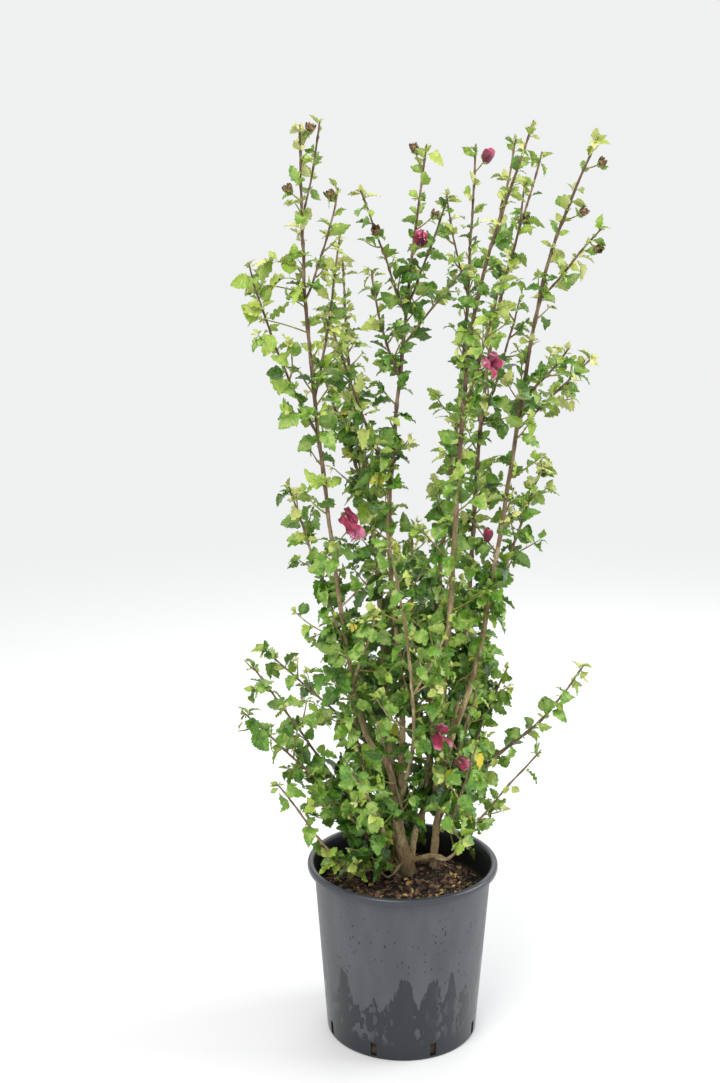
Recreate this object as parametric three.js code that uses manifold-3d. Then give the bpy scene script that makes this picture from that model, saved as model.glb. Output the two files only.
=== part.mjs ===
// A rose of sharon, a flowering shrub of many upright stems, in its round nursery container.
// Millimetres, +Z up, the origin at the centre of the container's flat underside, and the shrub's
// broad side towards -Y. Every stem, bough and mass of leaves is a closed solid of its own.
import * as THREE from "three";
import { mergeVertices } from "three/addons/utils/BufferGeometryUtils.js";
import Module from "manifold-3d";

const wasm = await Module();
wasm.setup();
const { lerp, clamp, mapLinear, degToRad } = THREE.MathUtils;

// ---------------------------------------------------------------- driving sizes
const gap = 0.3; // clearance between two solids that touch on the real plant

const container = {
  height: 293,
  footRadius: 124,
  shoulderRadius: 145, // outside of the wall, just under the rim
  rimRadius: 156,
  rimDepth: 12,
  lip: 3, // rounding of the rolled rim
  chamfer: 2, // round the foot
  wall: 2.6,
  floor: 4,
  sides: 32,
  slots: 8,
  slotWidth: 10,
  slotBottom: 4.5,
  slotTop: 27,
};

const ground = {
  level: 250, // flat top of the soil round the stems
  edgeLevel: 243, // where it meets the wall
  flatRadius: 90,
};

// The low burr at the foot of the shrub, and the stocks that lean as they rise from it, each to the
// fork where its leaders part.
const rootCrown = { x: 28, y: 20, z: 256, reachX: 46, reachY: 32, rise: 15, flares: 6 };
const stocks = {
  left: { foot: [17, 18], via: [-8, 13, 340], fork: [-11, 9, 382], girth: 25 },
  middle: { foot: [21, 24], via: [24, 26, 326], fork: [38, 31, 374], girth: 15 },
  right: { foot: [50, 22], via: [55, 20, 326], fork: [61, 15, 388], girth: 18 },
};

// Upright leaders. Each runs from its foot on a stock through the points of via to its tip, is an
// open bough up to the height bareTo, and is girth thick at the foot. A fork leaves its leader at the
// height from and bows outwards. Fruit and blooms sit on spurs, each at its own place.
const leaders = [
  {
    name: "left", stock: "left", foot: [-14, 7],
    via: [[-22, 5, 449], [-55, -5, 500], [-84, -22, 622], [-148, -90, 1192]],
    tip: [-155, -100, 1448], girth: 15, bareTo: 560,
    blooms: [[-84, -84, 868]], fruit: [[-141, -92, 1446], [-172, -92, 1362]],
    forks: [
      { from: 600, tip: [-46, -124, 738], bow: 0 },
      { from: 640, tip: [-182, 30, 908], bow: 0 },
      { from: 1000, tip: [-228, -120, 1257], bow: 10 },
      { from: 1060, tip: [-99, -40, 1302], bow: 4 },
      { from: 1206, tip: [-102, -60, 1362], bow: 6, fruit: [[-112, -62, 1354]] },
      { from: 1320, tip: [-128, -70, 1455], bow: 4 },
    ],
  },
  {
    name: "back_left", stock: "left", foot: [-16, 23], via: [[-50, 80, 844], [-86, 112, 1067]],
    tip: [-97, 125, 1250], girth: 11, bareTo: 560,
    forks: [{ from: 880, tip: [-136, 172, 1090], bow: 6 }],
  },
  {
    name: "middle", stock: "left", foot: [-3, 15], via: [[-2, 8, 566], [-24, 12, 830], [0, 30, 1169]],
    tip: [30, 40, 1428], girth: 13, bareTo: 560,
    blooms: [[22, 8, 1288]], fruit: [[12, 38, 1424], [44, 60, 1326]],
    forks: [
      { from: 910, tip: [-119, -40, 1188], bow: 4 },
      { from: 1080, tip: [-52, -14, 1242], bow: 8 },
      { from: 1130, tip: [92, 92, 1242], bow: 0 },
      { from: 1176, tip: [-68, -25, 1360], bow: 0, fruit: [[-46, -22, 1303]] },
      { from: 1186, tip: [65, 80, 1349], bow: 2 },
    ],
  },
  {
    name: "back_right", stock: "middle", foot: [44, 36], via: [[55, 90, 681], [96, 130, 1085]],
    tip: [113, 150, 1432], girth: 13, bareTo: 580, blooms: [[130, 138, 1415]],
    forks: [{ from: 1200, tip: [68, 152, 1357], bow: 4 }],
  },
  {
    name: "front_right", stock: "right", foot: [54, 8], via: [[71, -26, 722], [99, -80, 1190]],
    tip: [176, -90, 1456], girth: 13, bareTo: 590, blooms: [[120, -112, 1116]],
    forks: [
      { from: 1040, tip: [128, -160, 1236], bow: 6 },
      { from: 1250, tip: [155, -50, 1430], bow: 4 },
    ],
  },
  {
    name: "inner_right", stock: "right", foot: [68, 24], via: [[99, 30, 657], [134, 60, 1122]],
    tip: [209, 80, 1419], girth: 12, bareTo: 580, blooms: [[128, 0, 893]], fruit: [[187, 60, 1317]],
    forks: [
      { from: 1000, tip: [186, 142, 1190], bow: 6 },
      { from: 1240, tip: [179, 40, 1369], bow: 6 },
    ],
  },
  {
    name: "right", stock: "right", foot: [68, 4],
    via: [[69, -10, 476], [109, -24, 612], [143, -20, 811], [217, 20, 1257]],
    tip: [287, 30, 1442], girth: 15, bareTo: 560, fruit: [[293, 28, 1403], [266, 22, 1330]],
    forks: [
      { from: 720, tip: [216, 42, 936], bow: 4, fruit: [[222, 42, 928]] },
      { from: 1003, tip: [293, 60, 1107], bow: 0 },
      { from: 1049, tip: [238, -62, 1131], bow: 4 },
      { from: 1198, tip: [282, -50, 1305], bow: 0, fruit: [[279, -54, 1278]] },
    ],
  },
  {
    name: "front", stock: "left", foot: [-2, -5], via: [[10, -34, 470], [15, -58, 535], [-2, -118, 723]],
    tip: [-27, -150, 854], girth: 9, bareTo: 500,
    forks: [{ from: 600, tip: [62, -172, 742], bow: 6 }],
  },
  {
    name: "back", stock: "middle", foot: [32, 43], via: [[20, 128, 620]], tip: [18, 178, 810], girth: 9,
    bareTo: 500,
    forks: [{ from: 560, tip: [84, 200, 716], bow: 6 }],
  },
];

// Low shoots that leave the root crown sideways and turn up over the rim, and the short leafy ones
// that fill the inside of the shrub.
const shoots = [
  { name: "low_left", foot: [-20, 20], via: [[-86, 18, 387]], tip: [-241, -20, 631] },
  { name: "low_front_left", foot: [-20, -2], via: [[-102, -24, 400]], tip: [-251, -80, 573] },
  { name: "low_back_left", foot: [-12, 44], via: [[-34, 60, 432]], tip: [-230, 92, 626] },
  { name: "creeping_left", foot: [-26, 8], via: [[-94, -32, 300]], tip: [-199, -76, 452] },
  {
    name: "low_right", foot: [82, 30], via: [[138, 60, 429], [241, 84, 513]], tip: [302, 90, 597],
    forks: [{ from: 360, tip: [172, 62, 601], bow: -8 }],
  },
  { name: "creeping_right", foot: [84, 2], via: [[124, -20, 370]], tip: [211, -84, 511] },
  { name: "low_back", foot: [4, 58], via: [[-20, 112, 400]], tip: [-66, 214, 566] },
  { name: "low_back_right", foot: [62, 56], via: [[96, 116, 400]], tip: [142, 206, 588] },
  { name: "low_front", foot: [-4, -22], via: [[-34, -76, 380]], tip: [-96, -190, 540] },
  { name: "low_front_right", foot: [58, -18], via: [[74, -76, 390]], tip: [104, -196, 566] },
  { name: "inner_left", foot: [-10, -14], via: [], tip: [-84, -70, 592] },
  { name: "inner_back_left", foot: [-22, 34], via: [], tip: [-74, 66, 640] },
  { name: "inner_front_left", foot: [10, -26], via: [[-4, -52, 400]], tip: [-42, -104, 560] },
  { name: "inner_front", foot: [32, -22], via: [], tip: [44, -96, 600], blooms: [[52, -92, 528]] },
  { name: "inner_right_front", foot: [74, -12], via: [], tip: [112, -88, 620], blooms: [[90, -76, 490]] },
  { name: "inner_back_right", foot: [76, 48], via: [], tip: [142, 106, 680] },
];

const growth = {
  leaderRise: 20, // from a stock's fork up to the feet of its leaders
  stubDrop: 10, // and down to where the leaders' stubs start inside the stock
  stockFlare: 0.62, // radius of a stock's foot and of its fork, over its girth
  stockTop: 0.46,
  shootZ: 276, // height of the low shoots' feet, on the root crown
  shootRadius: 3.4,
  tipRadius: 1.8,
  twigRadius: 1.9,
  seed: 113, // of the first mass, and seedStep more for each of the next
  seedStep: 17,
  facet: 180, // longest straight facet of a stem
  pitchLow: 47, // between two leaf nodes, low on the shrub
  pitchHigh: 116, // and at its top
  turn: degToRad(137.5), // from one node to the next, round the stem
  lean: degToRad(40), // of twigs and leaves towards the tip of their stem, give or take leanRange
  leanRange: degToRad(9),
  tries: 8, // to find room for a twig or leaf, each turned by turnAgain and shorter by shrink
  turnAgain: degToRad(63),
  shrink: 0.07,
  twigLow: 112, // length of the lowest twigs
  twigHigh: 5, // and what it falls to at the top
  twigEnd: 0.35, // share of it at a stem's tip
  twigLeast: 46, // a node whose twig would be shorter bears leaves of its own
  twigLeaves: [0.4, 0.68, 0.93], // where along a twig its leaves sit
  leafLow: 82, // length of the lowest leaves
  leafHigh: 68, // length of the leaves at the top
  leafEnd: 0.42, // how much shorter they are at a stem's tip
  leafWide: 0.78, // width over length
  leafWidest: 0.42, // where along a leaf it is widest
  leafThick: 0.03, // thickness over length
  leafFold: 0.1, // rise of its edges over its length
  twist: degToRad(126), // range of the leaves' turn about their midribs
  bloom: 34, // length of a furled bloom
  fruit: 9, // radius of a seed pod
  space: 105, // furthest that a leaf reaches from its own stem
  clear: 1.6, // kept between two masses
  clearLimbs: 5, // kept to trunk, boughs, soil and container
  sample: 12, // between two sample points of a stem
  apart: 16, // between two leaves of one mass
};

const bark = new THREE.MeshStandardMaterial({ color: 0x7b6a58, roughness: 0.85, metalness: 0 });
const leafGreen = new THREE.MeshStandardMaterial({ color: 0x5c8a34, roughness: 0.6, metalness: 0 });
const blackPlastic = new THREE.MeshStandardMaterial({ color: 0x4a4e54, roughness: 0.45, metalness: 0 });
const peat = new THREE.MeshStandardMaterial({ color: 0x33261c, roughness: 0.95, metalness: 0 });

// ---------------------------------------------------------------- solids
function solidOf(geometry) {
  const bareGeometry = geometry.clone();
  bareGeometry.deleteAttribute("normal");
  bareGeometry.deleteAttribute("uv");
  const merged = mergeVertices(bareGeometry, 1e-3);
  return new wasm.Manifold(
    new wasm.Mesh({
      numProp: 3,
      vertProperties: new Float32Array(merged.attributes.position.array),
      triVerts: new Uint32Array(merged.index.array),
    }),
  );
}

function geometryOf(solid) {
  const mesh = solid.getMesh();
  const geometry = new THREE.BufferGeometry();
  geometry.setAttribute("position", new THREE.BufferAttribute(mesh.vertProperties, 3));
  geometry.setIndex(new THREE.BufferAttribute(mesh.triVerts, 1));
  geometry.computeVertexNormals();
  return geometry;
}

// The largest connected piece of the joined solids, so that no loose scrap is left.
function fuse(solids) {
  const pieces = solidOf(geometryOf(wasm.Manifold.union(solids))).decompose();
  return pieces.reduce((a, b) => (a.volume() > b.volume() ? a : b));
}

function named(name, solid, material) {
  const mesh = new THREE.Mesh(geometryOf(solid), material);
  mesh.name = name;
  return mesh;
}

// ---------------------------------------------------------------- curves and limbs
const vector = (x, y, z) => new THREE.Vector3(x, y, z);

const straight = (a, b) => new THREE.LineCurve3(a, b);

// A line from a to b that is bowed by bulge half way.
function bowed(a, b, bulge) {
  const middle = a.clone().add(b).multiplyScalar(0.5);
  return new THREE.QuadraticBezierCurve3(a, middle.addScaledVector(bulge, 2), b);
}

// The share of a rising line at which it reaches the height z.
function shareAt(curve, z) {
  let low = 0;
  let high = 1;
  for (let i = 0; i < 24; i++) {
    const share = (low + high) / 2;
    if (curve.getPoint(share).z < z) low = share;
    else high = share;
  }
  return low;
}

// The point at that part of a limb's length, on the straight facets that it is made of.
function pointOn({ curve, from = 0, to = 1, steps = 1 }, part) {
  const step = Math.min(Math.floor(part * steps), steps - 1);
  const corner = (i) => curve.getPoint(lerp(from, to, i / steps));
  return corner(step).lerp(corner(step + 1), part * steps - step);
}

// A tapering limb between two shares of a curve: a turned cone whose vertices are bent onto it.
function limb({ curve, from = 0, to = 1, steps = 1, root, end }, sides) {
  const profile = [new THREE.Vector2(0, 0)];
  for (let i = 0; i <= steps; i++) {
    profile.push(new THREE.Vector2(lerp(root, end, i / steps), i / steps));
  }
  profile.push(new THREE.Vector2(0, 1));
  const geometry = new THREE.LatheGeometry(profile, sides);
  const chord = curve.getPoint(to).sub(curve.getPoint(from));
  const across = vector(chord.y, -chord.x, 0);
  if (across.length() < 1) across.set(1, 0, 0);
  const place = geometry.attributes.position;
  for (let i = 0; i < place.count; i++) {
    const share = lerp(from, to, place.getY(i));
    const tangent = curve.getTangent(share);
    const side = across.clone().addScaledVector(tangent, -across.dot(tangent)).normalize();
    const up = side.clone().cross(tangent);
    const point = curve.getPoint(share);
    point.addScaledVector(side, place.getX(i)).addScaledVector(up, place.getZ(i));
    place.setXYZ(i, point.x, point.y, point.z);
  }
  return solidOf(geometry);
}

// ---------------------------------------------------------------- the container and its soil
const shoulder = container.height - container.rimDepth;
const wallRadius = (z) => mapLinear(z, 0, shoulder, container.footRadius, container.shoulderRadius);

function turned(profile) {
  const points = profile.map(([r, z]) => new THREE.Vector2(r, z));
  return solidOf(new THREE.LatheGeometry(points, container.sides).rotateX(Math.PI / 2));
}

function containerSolid() {
  const { height, rimRadius, lip, chamfer, wall, floor, slotBottom, slotTop } = container;
  const shell = turned([
    [0, 0],
    [wallRadius(0) - chamfer, 0],
    [wallRadius(chamfer), chamfer],
    [wallRadius(shoulder), shoulder],
    [rimRadius - lip / 2, shoulder],
    [rimRadius, shoulder + lip],
    [rimRadius, height - lip],
    [rimRadius - lip, height],
    [wallRadius(height) - lip, height],
    [wallRadius(shoulder) - wall, shoulder],
    [wallRadius(floor) - wall, floor],
    [0, floor],
  ]);
  const slots = [];
  for (let i = 0; i < container.slots; i++) {
    const slot = new THREE.BoxGeometry(6 * wall, container.slotWidth, slotTop - slotBottom);
    slot.translate(wallRadius(0), 0, (slotBottom + slotTop) / 2);
    slot.rotateZ(((i + 0.5) / container.slots) * 2 * Math.PI);
    slots.push(solidOf(slot));
  }
  return shell.subtract(wasm.Manifold.union(slots));
}

function soilSolid() {
  const bottom = container.floor + gap;
  const inside = (z) => wallRadius(z) - container.wall - gap;
  return turned([
    [0, bottom],
    [inside(bottom), bottom],
    [inside(ground.edgeLevel), ground.edgeLevel],
    [ground.flatRadius, ground.level],
    [0, ground.level],
  ]);
}

// ---------------------------------------------------------------- stems
const stemLine = (foot, z, via, tip) =>
  new THREE.CatmullRomCurve3([[...foot, z], ...via, tip].map((point) => vector(...point)));

const stepsFor = (length) => Math.ceil(length / growth.facet);

function forkStem(stem, { from, tip, bow, blooms, fruit }) {
  const share = shareAt(stem.curve, from);
  const part = (share - stem.from) / (stem.to - stem.from);
  const start = pointOn(stem, part);
  const away = vector(tip[0] - start.x, tip[1] - start.y, 0).normalize();
  const curve = bowed(start, vector(...tip), away.multiplyScalar(bow));
  const ends = { from: 0, to: 1, root: 0.7 * lerp(stem.root, stem.end, part), end: 0.9 * growth.tipRadius };
  return { curve, ...ends, steps: stepsFor(curve.getLength()), blooms, fruit };
}

const forkOf = (leader) => vector(...stocks[leader.stock].fork);

// The line that a stock follows from under the soil to its fork.
const stockLine = ({ foot, via, fork }) => stemLine(foot, ground.level - 10, [via], fork);

// Each leader gives a bare bough and, 0.3 mm clear of its end, the first stem of the mass above it.
function leaderParts(leader) {
  const curve = stemLine(leader.foot, forkOf(leader).z + growth.leaderRise, leader.via, leader.tip);
  const radiusAt = (share) => lerp(leader.girth / 2, growth.tipRadius, share);
  const bare = shareAt(curve, leader.bareTo);
  const clearance = gap / curve.getLength();
  const bough = { curve, from: clearance, to: bare, steps: 5, root: leader.girth / 2, end: radiusAt(bare) };
  const { blooms, fruit } = leader;
  const steps = stepsFor(curve.getLength() * (1 - bare));
  const ends = { from: bare + clearance, to: 1, root: radiusAt(bare), end: growth.tipRadius };
  const stem = { curve, ...ends, steps, blooms, fruit };
  return { bough, stems: [stem, ...leader.forks.map((fork) => forkStem(stem, fork))] };
}

function shootStems({ foot, via, tip, forks = [], blooms }) {
  const curve = stemLine(foot, growth.shootZ, via, tip);
  const length = curve.getLength();
  const ends = { from: gap / length, to: 1, root: growth.shootRadius, end: growth.tipRadius * 0.8 };
  const stem = { curve, ...ends, steps: stepsFor(length), blooms };
  return [stem, ...forks.map((fork) => forkStem(stem, fork))];
}

const grown = leaders.map((leader) => ({ ...leader, ...leaderParts(leader) }));
const masses = [
  ...grown.map(({ name, stems }) => ({ name: `${name}_crown`, stems })),
  ...shoots.map((shoot) => ({ name: `${shoot.name}_leaves`, stems: shootStems(shoot) })),
];
const seedOf = (owner) => growth.seed + growth.seedStep * owner;
const shootFeet = masses.slice(leaders.length).map(({ stems }) => stems[0]);
const feet = [...grown.map(({ bough }) => bough), ...shootFeet];

// A stub that turns from start into the beginning of a stem's line and ends there.
function stub(start, curve, radius, sides) {
  const end = curve.getPoint(0);
  const elbow = end.clone().addScaledVector(curve.getTangent(0), -0.5 * end.distanceTo(start));
  const line = new THREE.QuadraticBezierCurve3(start, elbow, end);
  return limb({ curve: line, root: radius * 1.35, end: radius }, sides);
}

// The root crown: a low burr with two stocks, a stub for each stem, root flares, and a flat cut below.
function trunkSolid() {
  const { x, y, z, reachX, reachY, rise, flares } = rootCrown;
  const centre = vector(x, y, z);
  const burr = new THREE.SphereGeometry(1, 10, 4).rotateX(Math.PI / 2).scale(reachX, reachY, rise);
  const parts = [solidOf(burr.translate(x, y, z))];
  for (const stock of Object.values(stocks)) {
    const ends = { root: stock.girth * growth.stockFlare, end: stock.girth * growth.stockTop };
    parts.push(limb({ curve: stockLine(stock), steps: 5, ...ends }, 8));
  }
  feet.forEach(({ curve, root }, i) => {
    const leader = leaders[i];
    const low = centre.clone().lerp(curve.getPoint(0), 0.66).setZ(z - 3);
    const start = leader ? forkOf(leader).setZ(forkOf(leader).z - growth.stubDrop) : low;
    parts.push(stub(start, curve, root, leader ? 5 : 3));
  });
  for (let i = 0; i < flares; i++) {
    const angle = ((i + 0.3) / flares) * 2 * Math.PI;
    const out = vector(Math.cos(angle) * reachX * 1.3, Math.sin(angle) * reachY * 1.4, -rise / 2);
    parts.push(limb({ curve: straight(centre, centre.clone().add(out)), root: 0.7 * rise, end: 3 }, 4));
  }
  const below = new THREE.BoxGeometry(400, 400, 100).translate(0, 0, ground.level + gap - 50);
  return fuse(parts).subtract(solidOf(below));
}

// ---------------------------------------------------------------- the space of each mass
// Sample points along every stem of every mass: a point belongs to the mass with the nearest one.
const samplesOf = ({ curve, from, to }) => {
  const count = Math.ceil((curve.getLength() * (to - from)) / growth.sample);
  return Array.from({ length: count + 1 }, (_, i) => curve.getPoint(lerp(from, to, i / count)));
};
const stemSamples = masses.flatMap(({ stems }, owner) =>
  stems.flatMap((stem) => samplesOf(stem).map((point) => ({ point, owner }))),
);
const limbSamples = [
  ...Object.values(stocks).flatMap((stock) => {
    const line = { curve: stockLine(stock), from: 0, to: 1 };
    return samplesOf(line).map((point) => ({ point, radius: stock.girth * growth.stockFlare }));
  }),
  ...grown.flatMap(({ bough }) => samplesOf(bough).map((point) => ({ point, radius: bough.root }))),
  ...feet.map(({ curve }) => ({ point: curve.getPoint(0), radius: 10 })),
];

function inOwnSpace(point, owner) {
  let own = Infinity;
  let other = Infinity;
  for (const sample of stemSamples) {
    const distance = sample.point.distanceTo(point);
    if (sample.owner === owner) own = Math.min(own, distance);
    else other = Math.min(other, distance);
  }
  return own < growth.space && own + 2 * growth.clear < other;
}

// Above the soil, inside the container's rim or above it, and away from the trunk and the boughs.
function clearOfLimbs(point) {
  const insideRim = Math.hypot(point.x, point.y) < container.shoulderRadius - growth.clearLimbs;
  if (point.z < ground.level + growth.clearLimbs) return false;
  if (point.z < container.height + growth.clearLimbs && !insideRim) return false;
  return limbSamples.every((sample) => sample.point.distanceTo(point) > sample.radius + growth.clearLimbs);
}

const isFree = (points, owner) =>
  points.every((point) => clearOfLimbs(point) && inOwnSpace(point, owner));

// ---------------------------------------------------------------- leaves, fruit and bloom
function seeded(seed) {
  let state = seed;
  return () => {
    state = (state * 16807) % 2147483647;
    return state / 2147483647;
  };
}

// A leaf with eight faces: an octahedron drawn out from its root along +X, folded up along the midrib.
const eightFaces = new THREE.OctahedronGeometry(1, 0);

function leafAt(root, direction, length, roll) {
  const { leafWide, leafThick, leafFold, leafWidest } = growth;
  const side = vector(-direction.y, direction.x, 0).normalize();
  const frame = new THREE.Matrix4().makeBasis(direction, side, direction.clone().cross(side));
  frame.multiply(new THREE.Matrix4().makeRotationX(roll)).setPosition(root);
  const place = eightFaces.attributes.position.clone();
  for (let i = 0; i < place.count; i++) {
    const [x, y, z] = [place.getX(i), place.getY(i), place.getZ(i)];
    const along = Math.abs(x) < 0.5 ? leafWidest : (x + 1) / 2;
    const height = (z * leafThick) / 2 + Math.abs(y) * leafFold;
    place.setXYZ(i, along * length, (y * leafWide * length) / 2, height * length);
  }
  // The points that must be free: a grid over the blade, away from the stem that it is sunk in.
  const points = [];
  for (const along of [0.25, leafWidest, 0.6, 0.8, 1]) {
    const half = Math.min(along / leafWidest, (1 - along) / (1 - leafWidest)) * (leafWide / 2);
    for (const across of [-1, -0.5, 0, 0.5, 1]) {
      points.push(vector(along * length, across * half * length, 0).applyMatrix4(frame));
    }
  }
  const geometry = new THREE.BufferGeometry().setAttribute("position", place);
  return { solid: solidOf(geometry.applyMatrix4(frame)), points };
}

// What sits at the end of a spur: the spur starts a little lower on its stem, where it is nearest.
function spurTo(place, stem) {
  let best = 0.02;
  for (let part = best; part < 0.98; part += 0.01) {
    if (pointOn(stem, part).distanceTo(place) < pointOn(stem, best).distanceTo(place)) best = part;
  }
  return straight(pointOn(stem, Math.max(0.02, best - 0.03)), place);
}

function fruitSolid([x, y, z]) {
  return solidOf(new THREE.OctahedronGeometry(growth.fruit, 0).translate(x, y, z));
}

function bloomSolid(place, spur) {
  const heading = spur.getTangent(1).lerp(vector(0, 0, 1), 0.4).normalize();
  const back = place.clone().addScaledVector(heading, -0.5 * growth.bloom);
  const front = place.clone().addScaledVector(heading, 0.5 * growth.bloom);
  return limb({ curve: straight(back, front), root: 0.2 * growth.bloom, end: 0.34 * growth.bloom }, 5);
}

// ---------------------------------------------------------------- one mass of leaves
// A direction that leaves a stem at that part of it, turned by angle round it and leaning to its tip.
function outward({ curve, from = 0, to = 1 }, part, angle, lean) {
  const tangent = curve.getTangent(lerp(from, to, part));
  const side = vector(0, 0, 1).cross(tangent);
  if (side.length() < 0.05) side.set(1, 0, 0);
  side.normalize();
  const ring = side.applyAxisAngle(tangent, angle);
  return ring.multiplyScalar(Math.cos(lean)).addScaledVector(tangent, Math.sin(lean)).normalize();
}

// What falls or rises evenly from its value low on the shrub to its value at the top.
const fall = (z, low, high) => lerp(low, high, clamp(mapLinear(z, 350, 1400, 0, 1), 0, 1));

function massSolid({ stems }, owner) {
  const seed = seedOf(owner);
  const random = seeded(seed);
  const parts = [];
  const taken = [];
  const apart = (point) => taken.every((other) => other.distanceTo(point) > growth.apart);

  // A leaf that finds no room is tried again, turned and smaller, and is then skipped.
  const addLeaf = (stem, part, angle, length) => {
    const root = pointOn(stem, part);
    const roll = (random() - 0.5) * growth.twist;
    for (let attempt = 0; attempt < growth.tries; attempt++) {
      const heading = outward(stem, part, angle + attempt * growth.turnAgain, growth.lean);
      const leaf = leafAt(root, heading, length * (1 - attempt * growth.shrink), roll);
      if (leaf.points.every(apart) && isFree(leaf.points, owner)) {
        taken.push(...leaf.points);
        parts.push(leaf.solid);
        return;
      }
    }
  };

  // A twig that has room, tried in the same way, or undefined.
  const freeTwig = (stem, part, angle, lean, reach) => {
    const root = pointOn(stem, part);
    for (let attempt = 0; attempt < growth.tries; attempt++) {
      const far = outward(stem, part, angle + attempt * growth.turnAgain, lean);
      const curve = straight(root, root.clone().addScaledVector(far, reach * (1 - attempt * growth.shrink)));
      if (isFree([0.4, 0.6, 0.8, 1].map((share) => curve.getPoint(share)), owner)) {
        return { curve, root: growth.twigRadius, end: 0.7 * growth.twigRadius };
      }
    }
  };

  const leafLength = (z, part) => {
    const { leafLow, leafHigh, leafEnd } = growth;
    return fall(z, leafLow, leafHigh) * lerp(1, leafEnd, part ** 2);
  };

  stems.forEach((stem, rank) => {
    const { curve, from, to, blooms = [], fruit = [] } = stem;
    const length = curve.getLength() * (to - from);
    parts.push(limb(stem, rank === 0 ? 4 : 3));
    let run = growth.pitchLow / 2;
    for (let node = 0; run < length - 8; node++) {
      const part = run / length;
      const { z } = pointOn(stem, part);
      const angle = seed + node * growth.turn + 0.6 * random();
      const lean = growth.lean + (random() - 0.5) * growth.leanRange;
      const full = fall(z, growth.twigLow, growth.twigHigh) * lerp(1, growth.twigEnd, part ** 2);
      const reach = full * lerp(0.8, 1.2, random());
      const bearsTwig = node % 2 === 0 && reach > growth.twigLeast;
      const twig = bearsTwig && freeTwig(stem, part, angle, lean, reach);
      if (twig) {
        parts.push(limb(twig, 3));
        growth.twigLeaves.forEach((share, i) => addLeaf(twig, share, angle + 2.6 * i, leafLength(z, part)));
      } else {
        addLeaf(stem, part, angle, leafLength(z, part));
        if (node % 2) addLeaf(stem, part, angle + growth.turn, leafLength(z, part));
      }
      run += fall(z, growth.pitchLow, growth.pitchHigh) * lerp(0.8, 1.2, random());
    }
    addLeaf(stem, 0.985, seed, leafLength(pointOn(stem, 1).z, 1));
    for (const place of [...blooms, ...fruit]) {
      const spur = spurTo(vector(...place), stem);
      parts.push(limb({ curve: spur, root: growth.twigRadius, end: growth.twigRadius }, 3));
      parts.push(fruit.includes(place) ? fruitSolid(place) : bloomSolid(vector(...place), spur));
    }
  });
  return fuse(parts);
}

// ---------------------------------------------------------------- the whole plant
const plant = new THREE.Group();
plant.add(named("container", containerSolid(), blackPlastic));
plant.add(named("soil", soilSolid(), peat));
plant.add(named("trunk", trunkSolid(), bark));
for (const { name, bough } of grown) plant.add(named(`${name}_bough`, limb(bough, 7), bark));
masses.forEach((mass, owner) => plant.add(named(mass.name, massSolid(mass, owner), leafGreen)));

export default plant;
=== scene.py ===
import math
import random

import bpy
import numpy as np
from mathutils import Matrix, Vector, noise


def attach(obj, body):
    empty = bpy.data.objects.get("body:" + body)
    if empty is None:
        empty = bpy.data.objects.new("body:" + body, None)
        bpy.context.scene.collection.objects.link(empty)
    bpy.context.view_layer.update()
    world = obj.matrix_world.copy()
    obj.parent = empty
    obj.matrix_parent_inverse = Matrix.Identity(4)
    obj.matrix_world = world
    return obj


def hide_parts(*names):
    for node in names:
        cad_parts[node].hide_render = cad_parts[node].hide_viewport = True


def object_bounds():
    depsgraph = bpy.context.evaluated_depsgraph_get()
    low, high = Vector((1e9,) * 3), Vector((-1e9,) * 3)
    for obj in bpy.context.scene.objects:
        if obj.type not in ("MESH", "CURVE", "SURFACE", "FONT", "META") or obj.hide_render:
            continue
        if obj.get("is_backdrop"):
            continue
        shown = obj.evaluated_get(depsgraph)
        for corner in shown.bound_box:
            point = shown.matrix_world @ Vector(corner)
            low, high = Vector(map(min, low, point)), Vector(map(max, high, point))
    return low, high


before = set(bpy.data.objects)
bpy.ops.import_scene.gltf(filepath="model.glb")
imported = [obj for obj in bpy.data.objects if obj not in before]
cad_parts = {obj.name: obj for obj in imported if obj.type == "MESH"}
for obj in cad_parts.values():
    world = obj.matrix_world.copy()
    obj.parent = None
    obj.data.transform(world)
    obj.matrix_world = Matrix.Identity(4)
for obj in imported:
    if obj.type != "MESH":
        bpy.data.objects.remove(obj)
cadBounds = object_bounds()
mm = 0.001
up = Vector((0, 0, 1))


# Camera, light and floor.
view = {
    "place": (-0.0698, -2.3139, 1.3371),
    "pitch": 12.444,  # degrees below level
    "lens": 50.26,
    "sensor": 36.0,
}


def aimedCamera():
    data = bpy.data.cameras.new("frontCamera")
    data.lens = view["lens"]
    data.sensor_width = view["sensor"]
    camera = bpy.data.objects.new("frontCamera", data)
    camera.location = view["place"]
    camera.rotation_euler = (math.radians(90 - view["pitch"]), 0, 0)
    bpy.context.collection.objects.link(camera)
    bpy.context.scene.camera = camera


lights = {
    "sky": 0.88,
    "skyTone": (0.99, 0.995, 1.0),
    "lamps": [  # name, place, size in metres, watts, tone
        ("keyLight", (-1.2, -2.2, 3.3), 1.8, 70, (1.0, 0.985, 0.96)),
        ("fillLight", (3.1, 0.4, 2.3), 2.2, 78, (0.98, 0.99, 1.0)),
        ("backLight", (0.4, 2.8, 3.0), 2.6, 34, (1.0, 1.0, 1.0)),
    ],
}


def studio():
    world = bpy.data.worlds.new("paleStudio")
    world.use_nodes = True
    background = world.node_tree.nodes["Background"]
    background.inputs["Color"].default_value = (*lights["skyTone"], 1)
    background.inputs["Strength"].default_value = lights["sky"]
    bpy.context.scene.world = world
    for name, place, size, power, tone in lights["lamps"]:
        data = bpy.data.lights.new(name, "AREA")
        data.size = size
        data.energy = power
        data.color = tone
        lamp = bpy.data.objects.new(name, data)
        lamp.location = place
        lamp.rotation_euler = (Vector((0, 0, 0.7)) - Vector(place)).to_track_quat("-Z", "Y").to_euler()
        bpy.context.collection.objects.link(lamp)


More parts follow.
